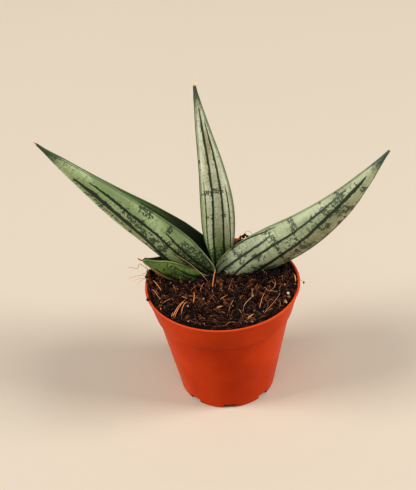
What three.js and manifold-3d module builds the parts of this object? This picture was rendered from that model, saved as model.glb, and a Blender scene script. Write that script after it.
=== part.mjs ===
// A small snake plant in a thin plastic nursery pot, filled with coir potting mix.
// Millimetres, +Z up. The origin is on the pot's axis, at the level that the pot stands on.
import * as THREE from "three";
import { mergeVertices } from "three/addons/utils/BufferGeometryUtils.js";
import Module from "manifold-3d";

const wasm = await Module();
wasm.setup();

// Pot
const RIM_RADIUS = 27.5;
const POT_HEIGHT = 45;
const WALL = 0.8;
const LIP_HEIGHT = 1.1;
const LIP_REACH = 0.5;
const COLLAR_HEIGHT = 10.7;
const COLLAR_FOOT_RADIUS = 24.7;
const STEP = 0.9;
const BASE_RADIUS = 17.5;
const BASE_THICKNESS = 1;
const POT_SIDES = 48;
const NOTCHES = 8;
const NOTCH_WIDTH = 4.5;
const NOTCH_HEIGHT = 1.8;
const NOTCH_DEPTH = 6;

// Clearance between pieces that touch in life
const GAP = 0.3;

// Potting mix
const SOIL_EDGE_Z = 43.9;
const SOIL_MOUND = 2.2;
const SOIL_RINGS = 11;
const SOIL_SIDES = 44;
const CRUMBS = 42;
const CRUMB_RADIUS = [0.7, 1.7];
const FIBRES = 20;
const FIBRE_RADIUS = 0.42;
const FIBRE_LENGTH = [5, 13];
const LOOSE_RADIUS = 23.5;

// Leaves
const BLADE_EDGE = 0.9;
const BLADE_TAPER = 1.8;
const SPINE_LENGTH = 1.6;
const ALONG = 24;
const WING_STEPS = 5;
const WING_CLOSENESS = 1.4;

// Buried crown
const CROWN_CENTRE = [-2, 8, 36.5];
const CROWN_RADIUS = 5.5;
const CROWN_FLATTENING = 0.8;
const ROOT_RADIUS = 0.9;

const COLOURS = {
  pot: { color: 0xb8401a, roughness: 0.45 },
  soil: { color: 0x2a1a12, roughness: 0.95 },
  crown: { color: 0xc9a06a, roughness: 0.8 },
  leaf: { color: 0x9db08a, roughness: 0.5 },
  young: { color: 0x5c8038, roughness: 0.45 },
};

// A repeatable stream of numbers from 0 to 1.
function seeded(seed) {
  let state = seed;
  return () => {
    state = (state * 16807) % 2147483647;
    return state / 2147483647;
  };
}

// Booleans
function solidOf(geometry) {
  const bare = geometry.index ? geometry.toNonIndexed() : geometry.clone();
  bare.deleteAttribute("normal");
  bare.deleteAttribute("uv");
  const merged = mergeVertices(bare, 1e-4);
  const solid = new wasm.Manifold(
    new wasm.Mesh({
      numProp: 3,
      vertProperties: merged.attributes.position.array,
      triVerts: new Uint32Array(merged.index.array),
    }),
  );
  return solid;
}

function largestBody(solid) {
  return solid.decompose().reduce((a, b) => (a.volume() > b.volume() ? a : b));
}

function geometryOf(solid) {
  const mesh = solid.getMesh();
  const geometry = new THREE.BufferGeometry();
  geometry.setAttribute("position", new THREE.BufferAttribute(mesh.vertProperties, 3));
  geometry.setIndex(new THREE.BufferAttribute(mesh.triVerts, 1));
  return geometry;
}

function subtractAll(solid, cutters) {
  return cutters.reduce((left, cutter) => left.subtract(cutter), solid);
}

// Pot: lip, tapered collar, step, tapered wall and a flat base with notches cut through its corner.
const collarFootZ = POT_HEIGHT - COLLAR_HEIGHT;
const wallTopRadius = COLLAR_FOOT_RADIUS - STEP;
const lipUnderRadius = RIM_RADIUS - LIP_REACH;

function potOuterProfile() {
  return [
    [BASE_RADIUS - 0.5, 0],
    [BASE_RADIUS, 0.5],
    [wallTopRadius, collarFootZ - 0.6],
    [wallTopRadius + 0.5 * STEP, collarFootZ - 0.2],
    [COLLAR_FOOT_RADIUS, collarFootZ + 0.4],
    [lipUnderRadius, POT_HEIGHT - LIP_HEIGHT],
    [RIM_RADIUS, POT_HEIGHT - 0.75 * LIP_HEIGHT],
    [RIM_RADIUS, POT_HEIGHT - 0.25 * LIP_HEIGHT],
    [RIM_RADIUS - 0.35, POT_HEIGHT],
  ];
}

function potInnerProfile(clearance) {
  const inset = WALL + clearance;
  return [
    [RIM_RADIUS - 0.2 - inset, POT_HEIGHT],
    [RIM_RADIUS - LIP_REACH - inset, POT_HEIGHT - LIP_HEIGHT],
    [COLLAR_FOOT_RADIUS - inset, collarFootZ + 0.4],
    [wallTopRadius - inset, collarFootZ - 0.6],
    [BASE_RADIUS - inset, BASE_THICKNESS + clearance],
  ];
}

function lathe(profile, sides) {
  const points = profile.map(([r, z]) => new THREE.Vector2(r, z));
  const geometry = new THREE.LatheGeometry(points, sides);
  geometry.rotateX(Math.PI / 2);
  return geometry;
}

function potSolid() {
  const profile = [[0, 0], ...potOuterProfile(), ...potInnerProfile(0), [0, BASE_THICKNESS]];
  const body = solidOf(lathe(profile, POT_SIDES));
  const notches = [];
  for (let i = 0; i < NOTCHES; i++) {
    const notch = new THREE.BoxGeometry(2 * NOTCH_DEPTH, NOTCH_WIDTH, 2 * NOTCH_HEIGHT);
    notch.translate(BASE_RADIUS, 0, 0);
    notch.rotateZ((i * 2 * Math.PI) / NOTCHES);
    notches.push(solidOf(notch));
  }
  return subtractAll(body, notches);
}

// Leaves. Each row is a cross-section: `at` is the middle of the leaf's inner face, `half` the width of each wing
// along its skin, `rib` the thickness at the middle, `curl` how far each wing has turned at its margin, and `turn`
// where the channel opens: 0 to the front, 90 to the leaf's upper right-hand side, 180 to the back.
// `fold` shapes the section: 1 is a round channel, and near 0 a sharp fold along the rib.
const LEAF_MIDDLE = {
  fold: 0.9,
  rows: [
    { at: [0.1, 10.5, 38], half: 2.6, rib: 2.4, curl: 70, turn: 0 },
    { at: [0.1, 10.5, 46], half: 3.6, rib: 2.8, curl: 65, turn: 0 },
    { at: [-0.2, 10.8, 58], half: 6, rib: 3, curl: 48, turn: 0 },
    { at: [-0.3, 10.6, 71], half: 6.1, rib: 2.8, curl: 38, turn: 0 },
    { at: [-1.4, 10.6, 85], half: 4.6, rib: 2.5, curl: 34, turn: 0 },
    { at: [-3.5, 11.2, 100], half: 2.5, rib: 2, curl: 32, turn: 0 },
    { at: [-4.9, 11.8, 111], half: 0.9, rib: 1.2, curl: 30, turn: 0 },
    { at: [-5.3, 12, 115.5], half: 0.4, rib: 0.7, curl: 25, turn: 0 },
  ],
};

const LEAF_LEFT = {
  fold: 0.3,
  rows: [
    { at: [-2.4, 9, 39.5], half: 3.8, rib: 2.4, curl: 55, turn: 83 },
    { at: [-8.5, 8.5, 46.3], half: 10, rib: 3, curl: 70, turn: 86 },
    { at: [-17.3, 7, 53.5], half: 12.4, rib: 3.2, curl: 80, turn: 98 },
    { at: [-25.8, 5.5, 63.5], half: 11, rib: 3, curl: 82, turn: 105 },
    { at: [-34.1, 4, 73.4], half: 8.9, rib: 2.6, curl: 82, turn: 112 },
    { at: [-41.8, 2.5, 84.1], half: 6, rib: 2.2, curl: 80, turn: 119 },
    { at: [-49.8, 1, 95.7], half: 2.6, rib: 1.7, curl: 70, turn: 120 },
    { at: [-55.9, 0, 103.8], half: 0.3, rib: 0.7, curl: 40, turn: 110 },
  ],
};

const LEAF_RIGHT = {
  fold: 1,
  rows: [
    { at: [-1.2, 4.5, 38.5], half: 3.6, rib: 2.4, curl: 55, turn: 180 },
    { at: [3.3, 5, 44.5], half: 6.6, rib: 2.8, curl: 45, turn: 178 },
    { at: [9.8, 5.5, 49], half: 7.8, rib: 3, curl: 36, turn: 172 },
    { at: [18.8, 5, 54.4], half: 8, rib: 3, curl: 32, turn: 168 },
    { at: [29.5, 4.2, 61.4], half: 7, rib: 2.8, curl: 30, turn: 165 },
    { at: [41, 3, 72.1], half: 4.9, rib: 2.4, curl: 28, turn: 162 },
    { at: [49, 1.5, 82.7], half: 2.6, rib: 2, curl: 28, turn: 160 },
    { at: [56.5, 0, 94.1], half: 0.3, rib: 0.7, curl: 25, turn: 160 },
  ],
};

const LEAF_SMALL = {
  fold: 0.35,
  rows: [
    { at: [-5.2, 4.4, 42], half: 4, rib: 1.8, curl: 60, turn: 118 },
    { at: [-11.3, 4.2, 43.4], half: 6.8, rib: 2.2, curl: 74, turn: 114 },
    { at: [-16.1, 3.6, 45.8], half: 6.8, rib: 2.3, curl: 80, turn: 113 },
    { at: [-21.8, 3.2, 49.8], half: 5.3, rib: 2, curl: 80, turn: 112 },
    { at: [-26.8, 2.9, 54.1], half: 1.4, rib: 0.9, curl: 60, turn: 118 },
  ],
};

// The value of one measure of a leaf's rows at a share of the way along them.
function measure(rows, key, share) {
  const place = share * (rows.length - 1);
  const i = Math.min(Math.floor(place), rows.length - 2);
  const at = (k) => rows[Math.max(0, Math.min(rows.length - 1, k))][key];
  const u = place - i;
  const slopeA = (at(i + 1) - at(i - 1)) / 2;
  const slopeB = (at(i + 2) - at(i)) / 2;
  const u2 = u * u;
  const u3 = u2 * u;
  return (
    (2 * u3 - 3 * u2 + 1) * at(i) +
    (u3 - 2 * u2 + u) * slopeA +
    (3 * u2 - 2 * u3) * at(i + 1) +
    (u3 - u2) * slopeB
  );
}

// The inner face of one wing: distance across, height and slope at steps from the rib (reach 0) to the margin
// (reach 1), the steps closer together by the rib.
function wing(half, curl, fold) {
  const finer = 6;
  const points = [{ reach: 0, x: 0, n: 0, slope: 0 }];
  let x = 0;
  let n = 0;
  for (let k = 1; k <= WING_STEPS; k++) {
    const from = points[k - 1].reach;
    const reach = Math.pow(k / WING_STEPS, WING_CLOSENESS);
    const length = (half * (reach - from)) / finer;
    for (let i = 0; i < finer; i++) {
      const slope = curl * Math.pow(from + ((reach - from) * (i + 0.5)) / finer, fold);
      x += length * Math.cos(slope);
      n += length * Math.sin(slope);
    }
    points.push({ reach, x, n, slope: curl * Math.pow(reach, fold) });
  }
  return points;
}

// A leaf as one closed skin, grown outwards by `grow` on every side.
function leafGeometry(leaf, grow = 0) {
  const path = new THREE.CatmullRomCurve3(leaf.rows.map((row) => new THREE.Vector3(...row.at)));
  const front = new THREE.Vector3(0, -1, 0);
  const positions = [];
  const index = [];
  const push = (v) => positions.push(v.x, v.y, v.z) / 3 - 1;
  const ringSize = 2 * (2 * WING_STEPS + 1);
  let first;
  let last;
  for (let s = 0; s <= ALONG; s++) {
    const share = s / ALONG;
    const at = path.getPoint(share);
    const tangent = path.getTangent(share);
    const facing = front.clone().addScaledVector(tangent, -front.dot(tangent)).normalize();
    const side = new THREE.Vector3().crossVectors(tangent, facing);
    const turn = THREE.MathUtils.degToRad(measure(leaf.rows, "turn", share));
    const open = facing.multiplyScalar(Math.cos(turn)).addScaledVector(side, Math.sin(turn));
    const across = new THREE.Vector3().crossVectors(tangent, open);
    const half = measure(leaf.rows, "half", share) + grow;
    const rib = measure(leaf.rows, "rib", share);
    const curl = THREE.MathUtils.degToRad(measure(leaf.rows, "curl", share));
    const edge = Math.min(BLADE_EDGE, rib);
    if (s === 0) at.addScaledVector(tangent, -grow);
    const points = wing(half, curl, leaf.fold);
    const inner = [];
    const outer = [];
    for (let k = -WING_STEPS; k <= WING_STEPS; k++) {
      const { reach, x, n, slope } = points[Math.abs(k)];
      const hand = Math.sign(k);
      const normal = open
        .clone()
        .multiplyScalar(Math.cos(slope))
        .addScaledVector(across, -hand * Math.sin(slope));
      const thick = edge + (rib - edge) * (1 - Math.pow(reach, BLADE_TAPER));
      const skin = at.clone().addScaledVector(across, hand * x).addScaledVector(open, n);
      inner.push(skin.clone().addScaledVector(normal, grow));
      outer.push(skin.clone().addScaledVector(normal, -thick - grow));
    }
    [...inner, ...outer.reverse()].forEach(push);
    const middle = at.clone().addScaledVector(open, -rib / 2);
    if (s === 0) first = middle;
    if (s === ALONG) last = middle.addScaledVector(tangent, SPINE_LENGTH + grow);
  }
  for (let s = 0; s < ALONG; s++) {
    for (let k = 0; k < ringSize; k++) {
      const a = s * ringSize + k;
      const b = s * ringSize + ((k + 1) % ringSize);
      index.push(a, b, b + ringSize, a, b + ringSize, a + ringSize);
    }
  }
  const foot = push(first);
  const point = push(last);
  for (let k = 0; k < ringSize; k++) {
    const next = (k + 1) % ringSize;
    index.push(next, k, foot);
    index.push(ALONG * ringSize + k, ALONG * ringSize + next, point);
  }
  const geometry = new THREE.BufferGeometry();
  geometry.setAttribute("position", new THREE.Float32BufferAttribute(positions, 3));
  geometry.setIndex(index);
  return geometry;
}

function leafSolid(leaf, grow) {
  return solidOf(leafGeometry(leaf, grow));
}

// A closed round tube along a smooth line of points.
function tube(points, radius, sides, steps) {
  const section = new THREE.Shape();
  for (let i = 0; i < sides; i++) {
    const angle = (2 * Math.PI * i) / sides;
    const x = radius * Math.cos(angle);
    const y = radius * Math.sin(angle);
    if (i === 0) section.moveTo(x, y);
    else section.lineTo(x, y);
  }
  section.closePath();
  const path = new THREE.CatmullRomCurve3(points.map((p) => new THREE.Vector3(...p)));
  return new THREE.ExtrudeGeometry(section, { steps, bevelEnabled: false, extrudePath: path });
}

// Crown: a short knob of rhizome with a few thick roots, all below the surface.
const ROOTS = [
  [[0, 0, 36], [-5, 0, 32], [-9, -4, 24], [-10, -7, 14]],
  [[-2, 6, 36], [2, 2, 30], [3, -6, 22], [1, -9, 12]],
  [[0, 10, 36], [7, 10, 31], [11, 7, 22], [10, 4, 12]],
  [[-4, 10, 36], [-7, 13, 30], [-9, 12, 20], [-5, 10, 9]],
];

function crownSolid(grow) {
  const knob = new THREE.SphereGeometry(CROWN_RADIUS + grow, 14, 9);
  knob.scale(1, 1, CROWN_FLATTENING);
  knob.translate(...CROWN_CENTRE);
  const roots = ROOTS.map((points) => solidOf(tube(points, ROOT_RADIUS + grow, 6, 8)));
  return roots.reduce((body, root) => body.add(root), solidOf(knob));
}

// Potting mix: a plug with a lumpy, slightly mounded top, with crumbs and coir fibres grown into it.
function soilHeight(x, y) {
  const r = Math.hypot(x, y) / RIM_RADIUS;
  const lumps =
    0.45 * Math.sin(0.9 * x + 1.3) * Math.cos(0.8 * y - 0.4) +
    0.35 * Math.sin(1.7 * x - 0.6 * y + 2.1) +
    0.25 * Math.cos(0.5 * x + 2.1 * y);
  return SOIL_EDGE_Z + SOIL_MOUND * (1 - r * r) + lumps * Math.min(1, 4 * (1 - r));
}

function soilPlug() {
  const inner = potInnerProfile(GAP);
  const edgeRadius = inner[1][0];
  const profile = [[0, inner.at(-1)[1]], inner.at(-1), inner.at(-2), inner.at(-3)];
  for (let ring = SOIL_RINGS; ring >= 0; ring--) {
    profile.push([(edgeRadius * ring) / SOIL_RINGS, SOIL_EDGE_Z]);
  }
  const geometry = lathe(profile, SOIL_SIDES);
  const position = geometry.attributes.position;
  for (let i = 0; i < position.count; i++) {
    if (position.getZ(i) > SOIL_EDGE_Z - 0.01) {
      position.setZ(i, soilHeight(position.getX(i), position.getY(i)));
    }
  }
  return solidOf(geometry);
}

function crumbSolid(random) {
  const radius = THREE.MathUtils.lerp(...CRUMB_RADIUS, random() * random());
  const angle = 2 * Math.PI * random();
  const out = LOOSE_RADIUS * Math.sqrt(random());
  const x = out * Math.cos(angle);
  const y = out * Math.sin(angle);
  const crumb = new THREE.OctahedronGeometry(radius, 0);
  crumb.scale(1, 0.6 + 0.5 * random(), 0.7);
  crumb.rotateX(random() * Math.PI);
  crumb.rotateZ(random() * Math.PI);
  crumb.translate(x, y, soilHeight(x, y) + 0.25 * radius);
  return solidOf(crumb);
}

function fibreSolid(random) {
  const length = THREE.MathUtils.lerp(...FIBRE_LENGTH, random());
  const heading = 2 * Math.PI * random();
  const angle = 2 * Math.PI * random();
  const out = (LOOSE_RADIUS - length / 2) * Math.sqrt(random());
  const bend = (random() - 0.5) * 0.6 * length;
  const lift = 0.4 + 0.8 * random();
  const points = [-1, -0.5, 0, 0.5, 1].map((k) => {
    const along = (k * length) / 2;
    const aside = bend * (1 - k * k);
    const x = out * Math.cos(angle) + along * Math.cos(heading) - aside * Math.sin(heading);
    const y = out * Math.sin(angle) + along * Math.sin(heading) + aside * Math.cos(heading);
    const rise = lift - (lift + 1) * k * k;
    return [x, y, soilHeight(x, y) + rise];
  });
  return solidOf(tube(points, FIBRE_RADIUS, 3, 5));
}

function soilSolid(holes) {
  const random = seeded(20731);
  let soil = soilPlug();
  for (let i = 0; i < CRUMBS; i++) soil = soil.add(crumbSolid(random));
  for (let i = 0; i < FIBRES; i++) soil = soil.add(fibreSolid(random));
  return largestBody(subtractAll(soil, holes));
}

// The pieces, each cut clear of those that it is pressed against.
const middle = leafSolid(LEAF_MIDDLE, 0);
const middleGrown = leafSolid(LEAF_MIDDLE, GAP);
const right = largestBody(leafSolid(LEAF_RIGHT, 0).subtract(middleGrown));
const rightGrown = leafSolid(LEAF_RIGHT, GAP);
const left = largestBody(subtractAll(leafSolid(LEAF_LEFT, 0), [middleGrown, rightGrown]));
const leftGrown = leafSolid(LEAF_LEFT, GAP);
const small = largestBody(subtractAll(leafSolid(LEAF_SMALL, 0), [leftGrown, middleGrown, rightGrown]));
const smallGrown = leafSolid(LEAF_SMALL, GAP);
const leavesGrown = [middleGrown, rightGrown, leftGrown, smallGrown];
const crown = largestBody(subtractAll(crownSolid(0), leavesGrown));
const soil = soilSolid([...leavesGrown, crownSolid(GAP)]);

function piece(name, solid, colour) {
  const material = new THREE.MeshStandardMaterial({ ...colour, metalness: 0 });
  const mesh = new THREE.Mesh(geometryOf(solid), material);
  mesh.name = name;
  return mesh;
}

const plant = new THREE.Group();
plant.add(
  piece("leaf_middle", middle, COLOURS.leaf),
  piece("leaf_right", right, COLOURS.leaf),
  piece("leaf_left", left, COLOURS.leaf),
  piece("leaf_small", small, COLOURS.young),
  piece("crown", crown, COLOURS.crown),
);

const group = new THREE.Group();
group.add(piece("pot", potSolid(), COLOURS.pot), piece("soil", soil, COLOURS.soil), plant);

export default group;
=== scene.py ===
"""A small snake plant in a thin plastic nursery pot, filled with coir potting mix.

The finished pieces are in metres, +Z up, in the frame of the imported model. Sizes that describe the plant, the pot
and the mix are written in millimetres and multiplied by MM.
"""

import math
from collections import namedtuple

import bmesh
import bpy
from mathutils import Matrix, Quaternion, Vector, noise


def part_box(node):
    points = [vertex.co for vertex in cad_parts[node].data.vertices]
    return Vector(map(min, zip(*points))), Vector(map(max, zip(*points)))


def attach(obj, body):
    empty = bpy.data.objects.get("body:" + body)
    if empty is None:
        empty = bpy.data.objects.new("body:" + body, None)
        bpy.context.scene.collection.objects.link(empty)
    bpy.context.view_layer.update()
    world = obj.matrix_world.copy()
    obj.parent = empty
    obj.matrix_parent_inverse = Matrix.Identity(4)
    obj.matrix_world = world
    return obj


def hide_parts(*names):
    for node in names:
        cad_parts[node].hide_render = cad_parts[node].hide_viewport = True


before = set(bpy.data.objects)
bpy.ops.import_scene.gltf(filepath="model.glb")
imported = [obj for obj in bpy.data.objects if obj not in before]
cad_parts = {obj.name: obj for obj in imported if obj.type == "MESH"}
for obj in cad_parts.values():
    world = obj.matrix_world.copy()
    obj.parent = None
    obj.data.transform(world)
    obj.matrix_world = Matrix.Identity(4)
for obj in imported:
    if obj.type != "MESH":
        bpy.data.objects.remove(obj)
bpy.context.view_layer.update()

bl_info = {
    "name": "Potted snake plant",
    "version": (1, 0, 0),
    "blender": (4, 5, 0),
    "location": "View3D > Sidebar > Plant",
    "description": "Builds a small snake plant in a nursery pot, piece by piece",
    "category": "Add Mesh",
}

MM = 0.001
GOLDEN_ANGLE = math.pi * (3 - math.sqrt(5))
BODY = "root"

# Sizes of the pot, in millimetres, taken from the frame where it gives them
_, POT_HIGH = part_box("pot")
RIM_RADIUS = POT_HIGH.x / MM
POT_HEIGHT = POT_HIGH.z / MM
WALL = 0.8
LIP_HEIGHT = 1.1
LIP_REACH = 0.5
COLLAR_HEIGHT = 10.7
COLLAR_FOOT_RADIUS = 24.7
STEP = 0.9
BASE_RADIUS = 17.5
BASE_THICKNESS = 1.0
NOTCH_WIDTH = 4.5
NOTCH_HEIGHT = 1.8
NOTCH_DEPTH = 6.0
COLLAR_FOOT_Z = POT_HEIGHT - COLLAR_HEIGHT
WALL_TOP_RADIUS = COLLAR_FOOT_RADIUS - STEP

# Potting mix, in millimetres. Fibres are dropped on it from above everything.
GAP = 0.3
SOIL_EDGE_Z = 43.9
SOIL_MOUND = 2.2
SOIL_BRIM = 0.75
STRAND_FOOT = 0.35
DROP_FROM_Z = 60
DROP_LENGTH = 90

# Leaf blades, in millimetres
BLADE_EDGE = 0.45
BLADE_TAPER = 1.8
SPINE_LENGTH = 1.6

# How finely the meshes are divided, how many crumbs lie along the wall, and the angles, in degrees, from which edges
# stay sharp
POT_SIDES = 192
PLUG_RINGS, PLUG_SIDES = 80, 220
TOP_RINGS, TOP_SIDES = 50, 120
EDGE_CRUMBS = 420
ALONG_STEPS, WING_STEPS = 150, 20
CUTTER_ALONG_STEPS, CUTTER_WING_STEPS = 60, 10
BEAD_STEPS = 4
SPINE_STEPS = 6
POT_CREASE = 40
CREASE = 50

# The camera: where it stands, what it looks at, and how the photograph is framed
FRAME_SIDE = 490
VIEW_HEIGHT = 45 * MM
VIEW_DISTANCE = 340 * MM
VIEW_ELEVATION = math.radians(37)
VIEW_ROLL = math.radians(-3.4)
FOCAL_PIXELS = 960.5
AXIS_PIXEL = (222.4, 281.5)
FRAME_CENTRE = (208, 245)
SENSOR = 36

# The stage, in metres
FLOOR_REACH = 1.4
LAMP_TARGET = (0, 0, 60 * MM)
LAMP_COLOUR = (1.0, 0.96, 0.9)


def srgb(red, green, blue):
    """A screen colour, 0 to 255 a channel, as the linear colour that the renderer works in."""
    def linear(value):
        share = value / 255
        return share / 12.92 if share <= 0.04045 else ((share + 0.055) / 1.055) ** 2.4

    return (linear(red), linear(green), linear(blue), 1.0)


# Leaf shapes
# Each row is a cross-section, in millimetres and degrees: `at` is the middle of the inner face, `half` the width of
# each wing along its skin, `rib` the thickness at the middle, `curl` how far each wing has turned at its margin, and
# `turn` where the channel opens: 0 to the front, 90 to the leaf's upper right side, 180 to the back.
# `fold` shapes the section: 1 is a round channel, and near 0 a sharp fold along the rib.
Row = namedtuple("Row", "at half rib curl turn")

SHAPES = {
    "leaf_middle": {
        "fold": 0.9,
        "rows": [
            Row((0.1, 10.5, 38), 2.6, 2.4, 70, 0),
            Row((0.1, 10.5, 46), 3.6, 2.8, 65, 0),
            Row((-0.2, 10.8, 58), 6, 3, 48, 0),
            Row((-0.3, 10.6, 71), 6.1, 2.8, 38, 0),
            Row((-1.4, 10.6, 85), 4.6, 2.5, 34, 0),
            Row((-3.5, 11.2, 100), 2.5, 2, 32, 0),
            Row((-4.9, 11.8, 111), 0.9, 1.2, 30, 0),
            Row((-5.3, 12, 115.5), 0.4, 0.7, 25, 0),
        ],
    },
    "leaf_left": {
        "fold": 0.3,
        "rows": [
            Row((-2.4, 9, 39.5), 3.8, 2.4, 55, 83),
            Row((-8.5, 8.5, 46.3), 10, 3, 70, 86),
            Row((-17.3, 7, 53.5), 12.4, 3.2, 80, 98),
            Row((-25.8, 5.5, 63.5), 11, 3, 82, 105),
            Row((-34.1, 4, 73.4), 8.9, 2.6, 82, 112),
            Row((-41.8, 2.5, 84.1), 6, 2.2, 80, 119),
            Row((-49.8, 1, 95.7), 2.6, 1.7, 70, 120),
            Row((-55.9, 0, 103.8), 0.3, 0.7, 40, 110),
        ],
    },
    "leaf_right": {
        "fold": 1,
        "rows": [
            Row((-1.2, 4.5, 38.5), 3.6, 2.4, 55, 180),
            Row((3.3, 5, 44.5), 6.6, 2.8, 45, 178),
            Row((9.8, 5.5, 49), 7.8, 3, 36, 172),
            Row((18.8, 5, 54.4), 8, 3, 32, 168),
            Row((29.5, 4.2, 61.4), 7, 2.8, 30, 165),
            Row((41, 3, 72.1), 4.9, 2.4, 28, 162),
            Row((49, 1.5, 82.7), 2.6, 2, 28, 160),
            Row((56.5, 0, 94.1), 0.3, 0.7, 25, 160),
        ],
    },
    "leaf_small": {
        "fold": 0.35,
        "rows": [
            Row((-5.2, 4.4, 42), 4, 1.8, 60, 118),
            Row((-11.3, 4.2, 43.4), 6.8, 2.2, 74, 114),
            Row((-16.1, 3.6, 45.8), 6.8, 2.3, 80, 113),
            Row((-21.8, 3.2, 49.8), 5.3, 2, 80, 112),
            Row((-26.8, 2.9, 54.1), 1.4, 0.9, 60, 118),
        ],
    },
}

# Leaf markings
# Places on a blade are (along, across) in millimetres: along the rib from the foot, and across the skin from the rib,
# positive towards the right or upper margin. A stripe runs through its points. A patch, a green and a tint are
# (along, across, half length, half width, strength), a band is (along, half width, strength).
Stripe = namedtuple("Stripe", "points width")

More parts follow.
